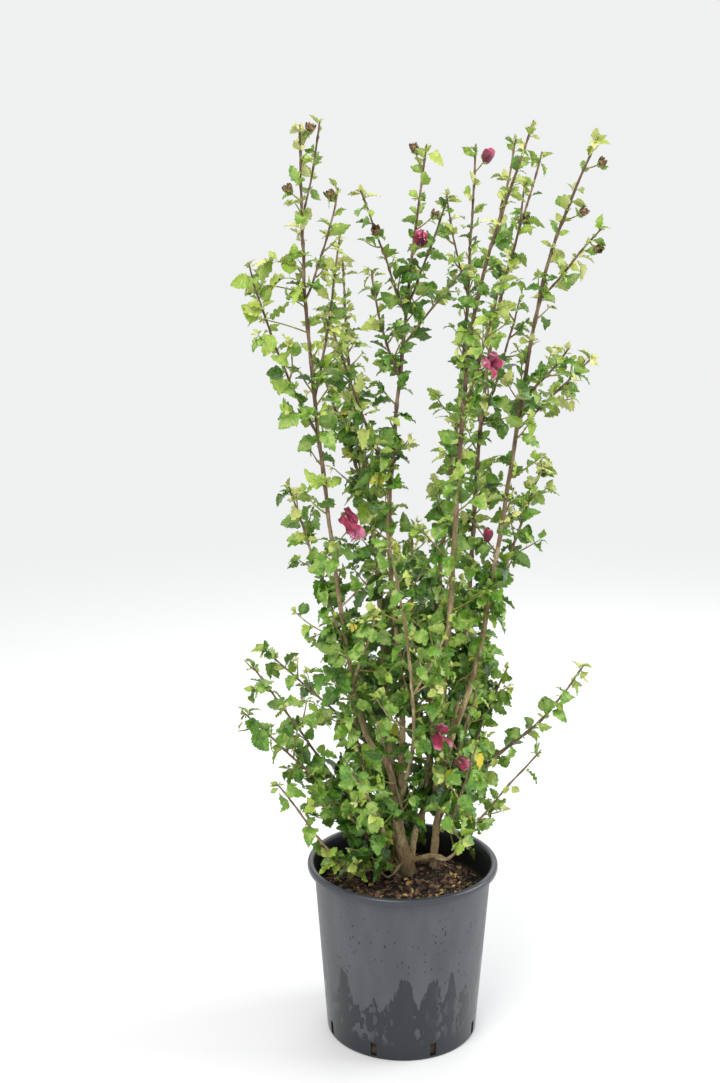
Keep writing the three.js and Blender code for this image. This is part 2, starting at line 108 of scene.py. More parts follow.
aimedCamera()
studio()
bpy.context.scene.view_settings.view_transform = "Standard"
print("camera and studio light are set")


# Meshes.
def linked(name, mesh, material=None):
    obj = bpy.data.objects.new(name, mesh)
    bpy.context.collection.objects.link(obj)
    if material:
        mesh.materials.append(material)
    return obj


def meshFrom(name, vertices, faces, edges=()):
    mesh = bpy.data.meshes.new(name)
    mesh.from_pydata([tuple(v) for v in vertices], list(edges), [tuple(f) for f in faces])
    mesh.validate()
    return mesh


def smoothed(mesh, angle=None):
    mesh.polygons.foreach_set("use_smooth", [True] * len(mesh.polygons))
    if angle is not None:
        mesh.set_sharp_from_angle(angle=math.radians(angle))
    mesh.update()


def turnedMesh(name, profile, sides):
    # A profile of (radius, height) turned round the upright axis, closed where it meets the axis.
    vertices, faces, rings = [], [], []
    for radius, height in profile:
        if radius < 1e-9:
            rings.append([len(vertices)])
            vertices.append((0, 0, height))
            continue
        rings.append(list(range(len(vertices), len(vertices) + sides)))
        for i in range(sides):
            angle = 2 * math.pi * i / sides
            vertices.append((radius * math.cos(angle), radius * math.sin(angle), height))
    for low, high in zip(rings, rings[1:]):
        for i in range(sides):
            j = (i + 1) % sides
            if len(low) == 1 and len(high) == 1:
                continue
            if len(low) == 1:
                faces.append((low[0], high[j], high[i]))
            elif len(high) == 1:
                faces.append((low[i], low[j], high[0]))
            else:
                faces.append((low[i], low[j], high[j], high[i]))
    return meshFrom(name, vertices, faces)


def plainMesh(obj, name):
    # The evaluated object as a plain mesh that replaces the one with modifiers.
    evaluated = obj.evaluated_get(bpy.context.evaluated_depsgraph_get())
    mesh = bpy.data.meshes.new_from_object(evaluated)
    mesh.name = name
    bpy.data.objects.remove(obj)
    return mesh


def piece(obj, slot, *nodes):
    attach(obj, "root")
    if nodes:
        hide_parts(*nodes)
    return obj


# Node trees.
def linear(colour):
    # An sRGB colour of 0 to 255 as Blender's linear one.
    share = [c / 255 for c in colour]
    return tuple(c / 12.92 if c <= 0.04045 else ((c + 0.055) / 1.055) ** 2.4 for c in share) + (1.0,)


socketKinds = {
    "float": "NodeSocketFloat",
    "int": "NodeSocketInt",
    "material": "NodeSocketMaterial",
    "collection": "NodeSocketCollection",
    "geometry": "NodeSocketGeometry",
}


randomSockets = {"FLOAT_VECTOR": (0, 1, 0), "FLOAT": (2, 3, 1), "INT": (4, 5, 2)}  # least, most, result


class Tree:
    # A small hand for building node trees: nodes by type, inputs by name or index.
    def __init__(self, tree):
        self.tree = tree

    def give(self, value, socket):
        if isinstance(value, bpy.types.NodeSocket):
            self.tree.links.new(value, socket)
        else:
            socket.default_value = value

    def add(self, kind, inputs=None, **settings):
        node = self.tree.nodes.new(kind)
        for key, value in settings.items():
            setattr(node, key, value)
        for key, value in (inputs or {}).items():
            self.give(value, node.inputs[key])
        return node

    def math(self, operation, a, b, clamp=False):
        inputs = {0: a, 1: b}
        return self.add("ShaderNodeMath", inputs, operation=operation, use_clamp=clamp).outputs[0]

    def times(self, a, b):
        return self.math("MULTIPLY", a, b)

    def plus(self, a, b):
        return self.math("ADD", a, b)

    def less(self, a, b, clamp=False):
        return self.math("SUBTRACT", a, b, clamp)

    def magnitude(self, a):
        return self.math("ABSOLUTE", a, 0.0)

    def vectors(self, operation, a, b):
        return self.add("ShaderNodeVectorMath", {0: a, 1: b}, operation=operation).outputs[0]

    def combined(self, x, y, z):
        return self.add("ShaderNodeCombineXYZ", {"X": x, "Y": y, "Z": z}).outputs[0]

    def ripple(self, place, scale, detail):
        inputs = {"Vector": place, "Scale": scale, "Detail": detail}
        return self.add("ShaderNodeTexNoise", inputs).outputs["Fac"]

    def step(self, value, low, high):
        # 0 below low, 1 above high and smooth between them.
        node = self.add("ShaderNodeMapRange", {"Value": value, "From Min": low, "From Max": high})
        node.interpolation_type = "SMOOTHSTEP"
        return node.outputs["Result"]

    def mix(self, share, a, b):
        return self.add("ShaderNodeMix", {0: share, 6: a, 7: b}, data_type="RGBA").outputs[2]

    def place(self):
        return self.add("ShaderNodeTexCoord").outputs["Object"]

    def split(self, vector):
        return self.add("ShaderNodeSeparateXYZ", {0: vector}).outputs

    def chance(self, kind, least, most, seed):
        low, high, result = randomSockets[kind]
        inputs = {low: least, high: most, "Seed": seed}
        return self.add("FunctionNodeRandomValue", inputs, data_type=kind).outputs[result]

    def scatter(self, points, collection, index, turn, size):
        # One of the collection's shapes on each point, then all of it as real geometry.
        inputs = {"Collection": collection, "Separate Children": True, "Reset Children": True}
        shapes = self.add("GeometryNodeCollectionInfo", inputs).outputs[0]
        rotation = self.add("FunctionNodeEulerToRotation", {"Euler": turn}).outputs[0]
        inputs = {
            "Points": points, "Instance": shapes, "Pick Instance": True, "Instance Index": index,
            "Rotation": rotation, "Scale": size,
        }
        return self.add("GeometryNodeInstanceOnPoints", inputs).outputs[0]

    def finish(self, geometry, surface, out):
        solid = self.add("GeometryNodeRealizeInstances", {"Geometry": geometry}).outputs[0]
        done = self.add("GeometryNodeSetMaterial", {"Geometry": solid, "Material": surface}).outputs[0]
        self.tree.links.new(done, out["Geometry"])
        return self.tree


def group(name, kind, inputs, outputs):
    tree = bpy.data.node_groups.new(name, kind)
    for label, socket, *value in inputs:
        made = tree.interface.new_socket(label, in_out="INPUT", socket_type=socketKinds[socket])
        if value:
            made.default_value = value[0]
    for label, socket in outputs:
        tree.interface.new_socket(label, in_out="OUTPUT", socket_type=socketKinds[socket])
    hand = Tree(tree)
    return hand, hand.add("NodeGroupInput").outputs, hand.add("NodeGroupOutput").inputs


def blotchGroup():
    # A mask of soft blotches and a height of fine grain, on Object coordinates.
    inputs = [("Blotch size", "float", 0.04), ("Grain size", "float", 0.002), ("Stretch", "float", 1.0)]
    outputs = [("Blotch", "float"), ("Grain", "float")]
    hand, given, out = group("blotchAndGrain", "ShaderNodeTree", inputs, outputs)
    place = hand.vectors("MULTIPLY", hand.place(), hand.combined(1.0, 1.0, given["Stretch"]))
    for label, size, detail in (("Blotch", "Blotch size", 3.0), ("Grain", "Grain size", 4.0)):
        ripple = hand.ripple(place, hand.math("DIVIDE", 1.0, given[size]), detail)
        hand.tree.links.new(ripple, out[label])
    return hand.tree


blotchAndGrain = blotchGroup()


def material(name):
    made = bpy.data.materials.new(name)
    made.use_nodes = True
    hand = Tree(made.node_tree)
    return made, hand, made.node_tree.nodes["Principled BSDF"]


def blotches(hand, blotchSize, grainSize, stretch=1.0):
    node = hand.add("ShaderNodeGroup", node_tree=blotchAndGrain)
    node.inputs["Blotch size"].default_value = blotchSize
    node.inputs["Grain size"].default_value = grainSize
    node.inputs["Stretch"].default_value = stretch
    return node.outputs["Blotch"], node.outputs["Grain"]


def surfaced(hand, shader, tone, rough, relief, specular=None):
    # The shader's colour, roughness and bump; relief is a height, its strength and its distance.
    height, strength, distance = relief
    bump = hand.add("ShaderNodeBump", {"Height": height, "Strength": strength, "Distance": distance})
    hand.give(tone, shader.inputs["Base Color"])
    hand.give(rough, shader.inputs["Roughness"])
    hand.give(bump.outputs["Normal"], shader.inputs["Normal"])
    if specular is not None:
        shader.inputs["Specular IOR Level"].default_value = specular


def speckledMaterial(name, tones, sizes, steps, rough, strength, distance, specks=None):
    # Two tones in soft blotches, with specks of a third one where it is given.
    made, hand, shader = material(name)
    blotch, grain = blotches(hand, *sizes)
    tone = hand.mix(hand.step(blotch, *steps), linear(tones[0]), linear(tones[1]))
    if specks:
        tone = hand.mix(hand.step(grain, *specks[0]), tone, linear(specks[1]))
    surfaced(hand, shader, tone, rough, (grain, strength, distance))
    return made


# Bark.
oldTones = (164, 142, 104), (96, 78, 54), (212, 192, 150)
barkTones = {  # sRGB tones of the bark: ground colour, blotch colour, size of blotches in metres
    "oldBark": (*oldTones, 0.014),
    "youngBark": ((100, 81, 64), (58, 44, 35), (146, 125, 100), 0.010),
    "shootBark": ((112, 95, 77), (68, 54, 43), (152, 133, 108), 0.010),
    "greenBark": ((120, 122, 60), (104, 90, 50), (156, 156, 84), 0.006),
}


turnsYoung = {  # heights in metres between which the bark turns from old to young
    "oldBark": (0.60, 0.74), "shootBark": (0.39, 0.49), "youngBark": (0.62, 1.10),
}


soilStain = {"heights": (0.266, 0.306), "share": 0.78, "tone": (58, 46, 32)}  # on the feet of the stems


def barkMaterial(name, ground, dark, light, size):
    # Tan low on the shrub; young bark turns dark where the stems rise out of it.
    made, hand, shader = material(name)
    blotch, grain = blotches(hand, size, size / 8, 0.3)
    height = hand.split(hand.place())[2]
    turned = hand.plus(height, hand.times(blotch, 0.12))
    young = 1.0 if name == "greenBark" else hand.step(turned, *turnsYoung[name])
    tones = [hand.mix(young, linear(old), linear(new)) for old, new in zip(oldTones, (ground, dark, light))]
    tone = hand.mix(hand.step(blotch, 0.44, 0.64), tones[0], tones[2])
    tone = hand.mix(hand.step(grain, 0.50, 0.72), tone, tones[1])
    clean = hand.step(hand.plus(height, hand.times(blotch, 0.02)), *soilStain["heights"])
    stained = hand.times(hand.less(1.0, clean), soilStain["share"])
    tone = hand.mix(stained, tone, linear(soilStain["tone"]))
    surfaced(hand, shader, tone, 0.82, (grain, 0.5, 0.0006), 0.3)
    return made


bark = {name: barkMaterial(name, *tones) for name, tones in barkTones.items()}


# The growth of the shrub, by the same named sizes and rule as the solids.
stocks = {
    "left": {"foot": (17, 18), "via": (-8, 13, 340), "fork": (-11, 9, 382), "girth": 25, "slim": 0.5},
    "middle": {"foot": (11, 22), "via": (21, 26, 326), "fork": (38, 31, 374), "girth": 15, "slim": 0.42},
    "right": {"foot": (50, 24), "via": (55, 20, 326), "fork": (61, 15, 388), "girth": 18, "slim": 0.40},
}
rootCrown = {"centre": (28, 20, 256), "reach": (46, 32, 15), "flares": 6}


def fork(start, tip, bow, fruit=()):
    return {"from": start, "tip": tip, "bow": bow, "fruit": fruit}


def leader(name, stock, foot, via, tip, girth, bareTo, forks, blooms=(), fruit=()):
    return {
        "name": name, "stock": stock, "foot": foot, "via": via, "tip": tip, "girth": girth,
        "bareTo": bareTo, "forks": forks, "blooms": blooms, "fruit": fruit,
    }


def shoot(name, foot, via, tip, forks=(), blooms=()):
    return {"name": name, "foot": foot, "via": via, "tip": tip, "forks": forks, "blooms": blooms}


leaders = [
    leader(
        "left", "left", (-14, 7), [(-22, 5, 449), (-55, -5, 500), (-84, -22, 622), (-148, -90, 1192)],
        (-155, -100, 1448), 15, 560,
        [
            fork(600, (-46, -124, 738), 0), fork(640, (-182, 30, 908), 0),
            fork(1000, (-228, -120, 1257), 10), fork(1060, (-99, -40, 1302), 4),
            fork(1206, (-102, -60, 1362), 6, [(-112, -62, 1354)]), fork(1320, (-128, -70, 1455), 4),
        ],
        [(-84, -84, 868)], [(-141, -92, 1446), (-172, -92, 1362)],
    ),
    leader(
        "back_left", "left", (-16, 23), [(-50, 80, 844), (-86, 112, 1067)], (-97, 125, 1250), 11, 560,
        [fork(880, (-136, 172, 1090), 6)],
    ),
    leader(
        "middle", "left", (-3, 15), [(-2, 8, 566), (-24, 12, 830), (0, 30, 1169)], (30, 40, 1428), 13, 560,
        [
            fork(910, (-119, -40, 1188), 4), fork(1080, (-52, -14, 1242), 8),
            fork(1130, (92, 92, 1242), 0), fork(1176, (-68, -25, 1360), 0, [(-46, -22, 1303)]),
            fork(1186, (65, 80, 1349), 2),
        ],
        [(22, 8, 1288)], [(12, 38, 1424), (44, 60, 1326)],
    ),
    leader(
        "back_right", "middle", (44, 36), [(55, 90, 681), (96, 130, 1085)], (113, 150, 1432), 13, 580,
        [fork(1200, (68, 152, 1357), 4)], [(130, 138, 1415)],
    ),
    leader(
        "front_right", "right", (54, 8), [(71, -26, 722), (99, -80, 1190)], (176, -90, 1456), 13, 590,
        [fork(1040, (128, -160, 1236), 6), fork(1250, (155, -50, 1430), 4)], [(120, -112, 1116)],
    ),
    leader(
        "inner_right", "right", (68, 24), [(99, 30, 657), (134, 60, 1122)], (209, 80, 1419), 12, 580,
        [fork(1000, (186, 142, 1190), 6), fork(1240, (179, 40, 1369), 6)],
        [(128, 0, 893), (129, -14, 838)], [(187, 60, 1317)],
    ),
    leader(
        "right", "right", (68, 4), [(69, -10, 476), (109, -24, 612), (143, -20, 811), (217, 20, 1257)],
        (287, 30, 1442), 15, 560,
        [
            fork(720, (216, 42, 936), 4, [(222, 42, 928)]), fork(1003, (293, 60, 1107), 0),
            fork(1049, (238, -62, 1131), 4), fork(1198, (282, -50, 1305), 0, [(279, -54, 1278)]),
        ],
        (), [(293, 28, 1403), (266, 22, 1330)],
    ),
    leader(
        "front", "left", (-2, -5), [(10, -34, 470), (15, -58, 535), (-2, -118, 723)], (-27, -150, 854),
        9, 500,
        [fork(600, (62, -172, 742), 6)],
    ),
    leader(
        "back", "middle", (32, 43), [(20, 128, 620)], (18, 178, 810), 9, 500,
        [fork(560, (84, 200, 716), 6)],
    ),
]

shoots = [
    shoot("low_left", (-20, 20), [(-86, 18, 387)], (-241, -20, 631)),
    shoot("low_front_left", (-20, -2), [(-102, -24, 400)], (-251, -80, 573)),
    shoot("low_back_left", (-12, 44), [(-34, 60, 432)], (-230, 92, 626)),
    shoot("creeping_left", (-26, 8), [(-94, -32, 300)], (-199, -76, 452)),
    shoot(
        "low_right", (82, 30), [(138, 60, 429), (241, 84, 513)], (302, 90, 597),
        [fork(360, (172, 62, 601), -8)],
    ),
    shoot("creeping_right", (84, 2), [(124, -20, 370)], (211, -84, 511)),
    shoot("low_back", (4, 58), [(-20, 112, 400)], (-66, 214, 566)),
    shoot("low_back_right", (62, 56), [(96, 116, 400)], (142, 206, 588)),
    shoot("low_front", (-4, -22), [(-34, -76, 380)], (-96, -190, 540)),
    shoot("low_front_right", (58, -18), [(74, -76, 390)], (104, -196, 566)),
    shoot("inner_left", (-10, -14), [], (-84, -70, 592)),
    shoot("inner_back_left", (-22, 34), [], (-74, 66, 640)),
    shoot("inner_front_left", (10, -26), [(-4, -52, 400)], (-42, -104, 560)),
    shoot("inner_front", (32, -22), [], (44, -96, 600), (), [(52, -92, 528)]),
    shoot("inner_right_front", (74, -12), [], (112, -88, 620), (), [(90, -76, 490)]),
    shoot("inner_back_right", (76, 48), [], (142, 106, 680)),
]

growth = {
    "leaderRise": 20, "stubDrop": 10, "shootZ": 276, "shootRadius": 3.4, "tipRadius": 1.5,
    "seed": 113, "seedStep": 17,
    "pitchLow": 23, "pitchHigh": 21,  # between two leaf nodes, low on the shrub and at its top
    "turn": math.radians(137.5),
    "lean": math.radians(40), "leanRange": math.radians(16),
    "twigLow": 106, "twigHigh": 24, "twigEnd": 0.35, "twigLeast": 24,
    "twigPitch": 17,  # between the leaves of a twig
    "forkedTwig": 74,  # the least reach of a twig that has finer ones
    "leafLow": 48, "leafHigh": 35, "leafEnd": 0.72,
    "thicker": ((0.62, 900, 300), (0.5, 465, 110)),  # share, height and span of the closer leaves
    "clearLimbs": 5, "taper": 0.9,
    "bareBelow": 268,  # no leaves under this height, where bareBelow doesn't name the mass
    "slender": 0.90,  # the bark's girth over that of the plain solids
}


class ThroughPoints:
    # A centripetal Catmull-Rom curve through its points, as the solids' stems are.
    def __init__(self, points):
        self.points = [Vector(p) for p in points]

    def at(self, share):
        points = self.points
        last = len(points) - 1
        place = share * last
        index = min(int(place), last - 1)
        weight = place - index
        before = points[index - 1] if index > 0 else 2 * points[0] - points[1]
        after = points[index + 2] if index + 2 <= last else 2 * points[last] - points[last - 1]
        a, b = points[index], points[index + 1]
        spans = [(q - p).length_squared ** 0.25 for p, q in ((before, a), (a, b), (b, after))]
        spans[1] = max(spans[1], 1e-4)
        spans[0] = spans[0] if spans[0] > 1e-4 else spans[1]
        spans[2] = spans[2] if spans[2] > 1e-4 else spans[1]
        d0, d1, d2 = spans
        t0 = ((a - before) / d0 - (b - before) / (d0 + d1) + (b - a) / d1) * d1
        t1 = ((b - a) / d1 - (after - a) / (d1 + d2) + (after - b) / d2) * d1
        w2, w3 = weight * weight, weight**3
        return a + t0 * weight + (3 * (b - a) - 2 * t0 - t1) * w2 + (2 * (a - b) + t0 + t1) * w3


class Bowed:
    # A line from a to b that is bowed by bulge half way.
    def __init__(self, a, b, bulge=None):
        self.a, self.b = Vector(a), Vector(b)
        self.middle = (self.a + self.b) / 2 + 2 * (bulge or Vector())

    def at(self, share):
        rest = 1 - share
        return rest * rest * self.a + 2 * rest * share * self.middle + share * share * self.b


def curveLength(curve, count=60):
    points = [curve.at(i / count) for i in range(count + 1)]
    return sum((q - p).length for p, q in zip(points, points[1:]))


def headingAt(curve, share):
    low, high = max(share - 0.002, 0), min(share + 0.002, 1)
    return (curve.at(high) - curve.at(low)).normalized()


def shareAt(curve, z):
    low, high = 0.0, 1.0
    for _ in range(24):
        share = (low + high) / 2
        if curve.at(share).z < z:
            low = share
        else:
            high = share
    return low


def lerp(a, b, share):
    return a + (b - a) * share


def fall(z, low, high):
    # What falls or rises evenly from its value low on the shrub to its value at the top.
    return lerp(low, high, min(max((z - 350) / 1050, 0), 1))


def thick(z):
    # How much closer the leaves stand in the middle of the crown and low down.
    return 1 + sum(more * math.exp(-(((z - at) / span) ** 2)) for more, at, span in growth["thicker"])


class Stem:
    def __init__(self, curve, start, end, root, tip, blooms=(), fruit=(), taper=1.0):
        self.curve, self.start, self.end = curve, start, end
        self.root, self.tip, self.taper = root, tip, taper
        self.blooms, self.fruit = list(blooms), list(fruit)
        self.length = curveLength(curve) * (end - start)

    def at(self, part):
        return self.curve.at(lerp(self.start, self.end, part))

    def heading(self, part):
        return headingAt(self.curve, lerp(self.start, self.end, part))

    def radius(self, part):
        return lerp(self.root, self.tip, part**self.taper)


def forkStem(stem, spec):
    share = shareAt(stem.curve, spec["from"])
    part = (share - stem.start) / (stem.end - stem.start)
    start = stem.at(part)
    tip = Vector(spec["tip"])
    away = Vector((tip.x - start.x, tip.y - start.y, 0)).normalized()
    curve = Bowed(start, tip, away * spec["bow"])
    return Stem(curve, 0, 1, 0.7 * stem.radius(part), 0.9 * growth["tipRadius"], (), spec["fruit"])


def stemLine(spec, z):
    return ThroughPoints([(*spec["foot"], z), *spec["via"], spec["tip"]])


def leaderLine(spec):
    return stemLine(spec, stocks[spec["stock"]]["fork"][2] + growth["leaderRise"])


def stockLine(stock):
    return ThroughPoints([(*stock["foot"], 240), stock["via"], stock["fork"]])


def grownLeader(spec):
    curve = leaderLine(spec)
    bare = shareAt(curve, spec["bareTo"])
    foot = growth["slender"] * spec["girth"] / 2
    girth = lerp(foot, growth["tipRadius"], bare)
    bough = Stem(curve, 0, bare, foot, girth)
    stem = Stem(curve, bare, 1, girth, growth["tipRadius"], spec["blooms"], spec["fruit"], growth["taper"])
    return {"bough": bough, "stems": [stem] + [forkStem(stem, f) for f in spec["forks"]]}


springs = {  # where these shoots rise instead, so the stocks' own feet stay in sight
    "low_front": [(-40, -8, 258)], "inner_left": [(-34, 6, 262)], "inner_front_left": [(-12, 10, 356)],
    "inner_front": [(34, 28, 352)], "low_front_right": [(62, 14, 350)], "inner_right_front": [(62, 13, 376)],
    "low_right": [(64, 24, 330)], "creeping_right": [(48, 8, 294), (72, 4, 290), (88, 4, 302)],
    "inner_back_right": [(60, 24, 352)], "low_back_right": [(57, 28, 336)],
}


def grownShoot(spec):
    first = springs.get(spec["name"], [(*spec["foot"], growth["shootZ"])])
    curve = ThroughPoints([*first, *(via for via in spec["via"] if via[2] > first[-1][2] + 20), spec["tip"]])
    stem = Stem(curve, 0, 1, growth["shootRadius"], 0.8 * growth["tipRadius"], spec["blooms"])
    return {"bough": None, "stems": [stem] + [forkStem(stem, f) for f in spec["forks"]]}


grown = [grownLeader(spec) for spec in leaders] + [grownShoot(spec) for spec in shoots]
sunlit = {  # how much lighter the leaves of the low outer shoots are, in steps of leafTints
    "low_right": 1.0, "creeping_right": 1.2, "low_left": -0.6, "low_front_left": -0.5, "creeping_left": 0.4,
    "low_front": -0.6, "inner_left": -0.4,
}
fullness = {  # 1 where not named
    "low_right": 0.28, "creeping_right": 0.46, "low_front": 0.55, "low_front_right": 0.5, "inner_front": 0.6,
    "inner_front_left": 0.7, "inner_right_front": 0.6, "inner_left": 0.7, "front": 0.8, "creeping_left": 0.5,
    "low_left": 0.94, "low_front_left": 0.92,
}
bareBelow = {  # where the front of the soil and the foot of the stems are open to see
    "low_front": 282, "low_front_right": 372, "inner_front": 360, "inner_front_left": 366,
    "inner_right_front": 366, "inner_left": 340, "low_front_left": 300, "creeping_right": 296,
    "low_right": 320, "inner_back_right": 392, "low_back_right": 380, "creeping_left": 276,
}
shortTwigs = {"right": (540, 790, 0.5)}  # between these heights the twigs have this share of their reach
massNodes = [f"{spec['name']}_crown" for spec in leaders] + [f"{spec['name']}_leaves" for spec in shoots]
boughNames = [f"{spec['name']}_bough" for spec in leaders]


def outward(heading, angle, lean):
    side = up.cross(heading)
    side = Vector((1, 0, 0)) if side.length < 0.05 else side.normalized()
    ring = Matrix.Rotation(angle, 3, heading) @ side
    return (ring * math.cos(lean) + heading * math.sin(lean)).normalized()


potFree = {"soil": 250, "top": 293, "inside": 145}


def isFree(place):
    # Above the soil, and inside the container's rim or above it.
    clear = growth["clearLimbs"]
    insideRim = math.hypot(place.x, place.y) < potFree["inside"] - 2 * clear
    return place.z >= potFree["soil"] + clear and (insideRim or place.z > potFree["top"] + clear)


limits = [c / mm for c in cadBounds[0]], [c / mm for c in cadBounds[1]]


def insideReach(place, margin=4):
    return all(low + margin < c < high - margin for low, c, high in zip(limits[0], place, limits[1]))


eye = Vector(view["place"]) / mm
openFoot = {"plane": 15, "left": -20, "right": 70, "top": 322, "thin": 372, "soil": 263, "soilReach": 118}
openWall = {"left": -142, "right": -86, "low": 300, "high": 350}


def inSight(place, roll):
    # The feet of the stocks, the soil before them and the wall left of them stay open to see from the
    # front, and only a few leaves hang before the stocks' upper part.
    share = (openFoot["plane"] - eye.y) / (place.y - eye.y)
    seen = eye + (place - eye) * share
    if openWall["left"] < seen.x < openWall["right"] and openWall["low"] < seen.z < openWall["high"]:
        return roll.random() < leftOut["wall"]
    if place.y > openFoot["plane"] + 6:
        return False
    if seen.z < openFoot["soil"]:
        return abs(seen.x) < openFoot["soilReach"]
    if not openFoot["left"] < seen.x < openFoot["right"]:
        return False
    return seen.z < openFoot["top"] or (seen.z < openFoot["thin"] and roll.random() < leftOut["stocks"])


openLines = [  # line, lowest and highest point that stays open to see from the front
    (stockLine(stocks["left"]), 258, 352), (stockLine(stocks["middle"]), 300, 336),
    (stockLine(stocks["right"]), 296, 350), (leaderLine(leaders[0]), 403, 660),
    (leaderLine(leaders[7]), 412, 720), (leaderLine(leaders[6]), 440, 690),
    (leaderLine(leaders[2]), 640, 900), (leaderLine(leaders[4]), 640, 900),
]
hiddenBlooms = (128, 0, 893), (129, -14, 838)
leftOut = {"stem": 0.85, "wall": 0.8, "stocks": 0.5}  # shares of the leaves that would stand before these


def openPoints():
    # Places that stay open to see from the front, each with its half width and half height.
    points = []
    for curve, low, high in openLines:
        for z in range(low, high, 8):
            points.append((curve.at(shareAt(curve, z)), 0, 6))
    for spec in [*leaders, *shoots]:
        points += [(Vector(bloom), 7, 15) for bloom in spec["blooms"] if bloom not in hiddenBlooms]
    return points


opened = openPoints()


openDepth = -4, 220  # how far before an open place a leaf stands in its way


def hidesStem(place, width):
    # Whether a leaf here stands before an open place, as seen from the eye.
    for point, across, tall in opened:
        ahead = point.y - place.y
        if openDepth[0] < ahead < openDepth[1]:
            sight = point + (eye - point) * (ahead / (point.y - eye.y))
            if abs(place.x - sight.x) < width + across and abs(place.z - sight.z) < tall:
                return True
    return False


class Shrub:
    # A stretch of wood is points and radii; a leaf is root, heading, normal, length, shape and tint.
    def __init__(self):
        self.wood = {"oldBark": [], "youngBark": [], "shootBark": [], "greenBark": []}
        self.leaves = []
        self.buds = []
        self.blooms = []
        self.fruit = []
        self.skipped = 0


shrub = Shrub()
leafTints = ["deep", "dark", "mid", "fresh", "light", "lime", "pale", "yellow"]


def tintAt(z, part, shadeDepth, roll):
    # From deep green inside and low to lime at the tips: an index into leafTints. The darker green deep
    # inside the crown is painted shade.
    rise = min(max((z - 380) / 950, 0), 1)
    level = 1.5 + 1.95 * rise + 1.4 * part**2 - 1.2 * shadeDepth
    return min(max(level + roll.gauss(0, fall(z, 0.95, 1.3)), 0), 6)


leafKinds = {  # which of the blade shapes a leaf may have
    "large": (0, 0, 1, 2, 2, 3, 4, 6), "small": (1, 3, 5, 6, 7, 8), "young": (1, 5, 7, 7, 8, 8),
}


def addLeaf(root, heading, lift, length, tint, roll, before=False):
    # The blade faces up and outward; its free points must stay clear of soil, wall and reach.
    side = heading.cross(lift)
    if side.length < 1e-3:
        side = heading.orthogonal()
    facing = side.cross(heading).normalized()
    facing = Matrix.Rotation(roll.gauss(0, 0.62), 3, heading) @ facing
    wide = root.z < 1060 or (length > 21 and root.x < -150)
    kind = ("large" if length > 24 else "small") if wide else "young"
    shape = roll.choice(leafKinds[kind])
    tip = root + heading * length * 1.22
    if hidesStem(root + heading * length * 0.75, 0.36 * length) and roll.random() < leftOut["stem"]:
        return
    if not before and (inSight(tip, roll) or inSight(root + heading * length * 0.7, roll)):
        return
    if not (isFree(tip) and isFree(root + heading * length * 0.6) and insideReach(tip)):
        shrub.skipped += 1
        return
    middle, half = root + heading * length, side.normalized() * length * 0.4
    if insideReach(middle + half, 3) and insideReach(middle - half, 3):
        shrub.leaves.append((root, heading, facing, length, shape, tint))


def addTuft(root, heading, out, size, level, roll, count):
    # A spur's leaves: large ones stand out and hang, small ones rise between them.
    sideways = heading.cross(out).normalized()
    first = roll.uniform(-0.5, 0.5)
    for i in range(count):
        swing = first + (i - (count - 1) / 2) * roll.uniform(0.65, 1.15) + roll.gauss(0, 0.2)
        share = (1.0, 0.82, 0.6, 0.46, 0.36)[min(i, 4)]
        length = size * share * roll.uniform(0.7, 1.12)
        droop = fall(root.z, 0.62, 0.0)
        rise = roll.uniform(-droop, 0.9 - 0.9 * droop) if share > 0.7 else roll.uniform(0.0, 1.2)
        rise += fall(root.z, -0.1, 0.12)
        way = (out * math.cos(swing) + sideways * math.sin(swing) + heading * rise).normalized()
        lift = up * 0.7 + out * 0.55 + Vector([roll.gauss(0, 0.42) for _ in range(3)])
        tint = level + roll.gauss(0, 0.5) + (1.0 - share) * 1.7
        addLeaf(root + way * 0.5, way, lift, length, tint, roll)


def woodLine(curvePoint, radius, length, kind, roll, nodes=(), step=7.0, wobble=0.35):
    # Points and radii of one stretch of wood, with a swelling at each leaf node.
    count = max(int(length / step), 3)
    points, radii = [], []
    phase = roll.uniform(0, 10)
    for i in range(count + 1):
        part = i / count
        place = curvePoint(part)
        held = min(part * 8, 1, (1 - part) * 8)
        drift = noise.noise_vector(Vector((place.z / 45, phase, 0))) * wobble * held
        swelling = max((math.exp(-(((part - node) * length / 2.6) ** 2)) for node in nodes), default=0)
        base = radius(part)
        points.append(place + drift * 2.2)
        radii.append(base * (1 + swelling * min(1.0 / base, 0.45)))
    shrub.wood[kind].append((points, radii))


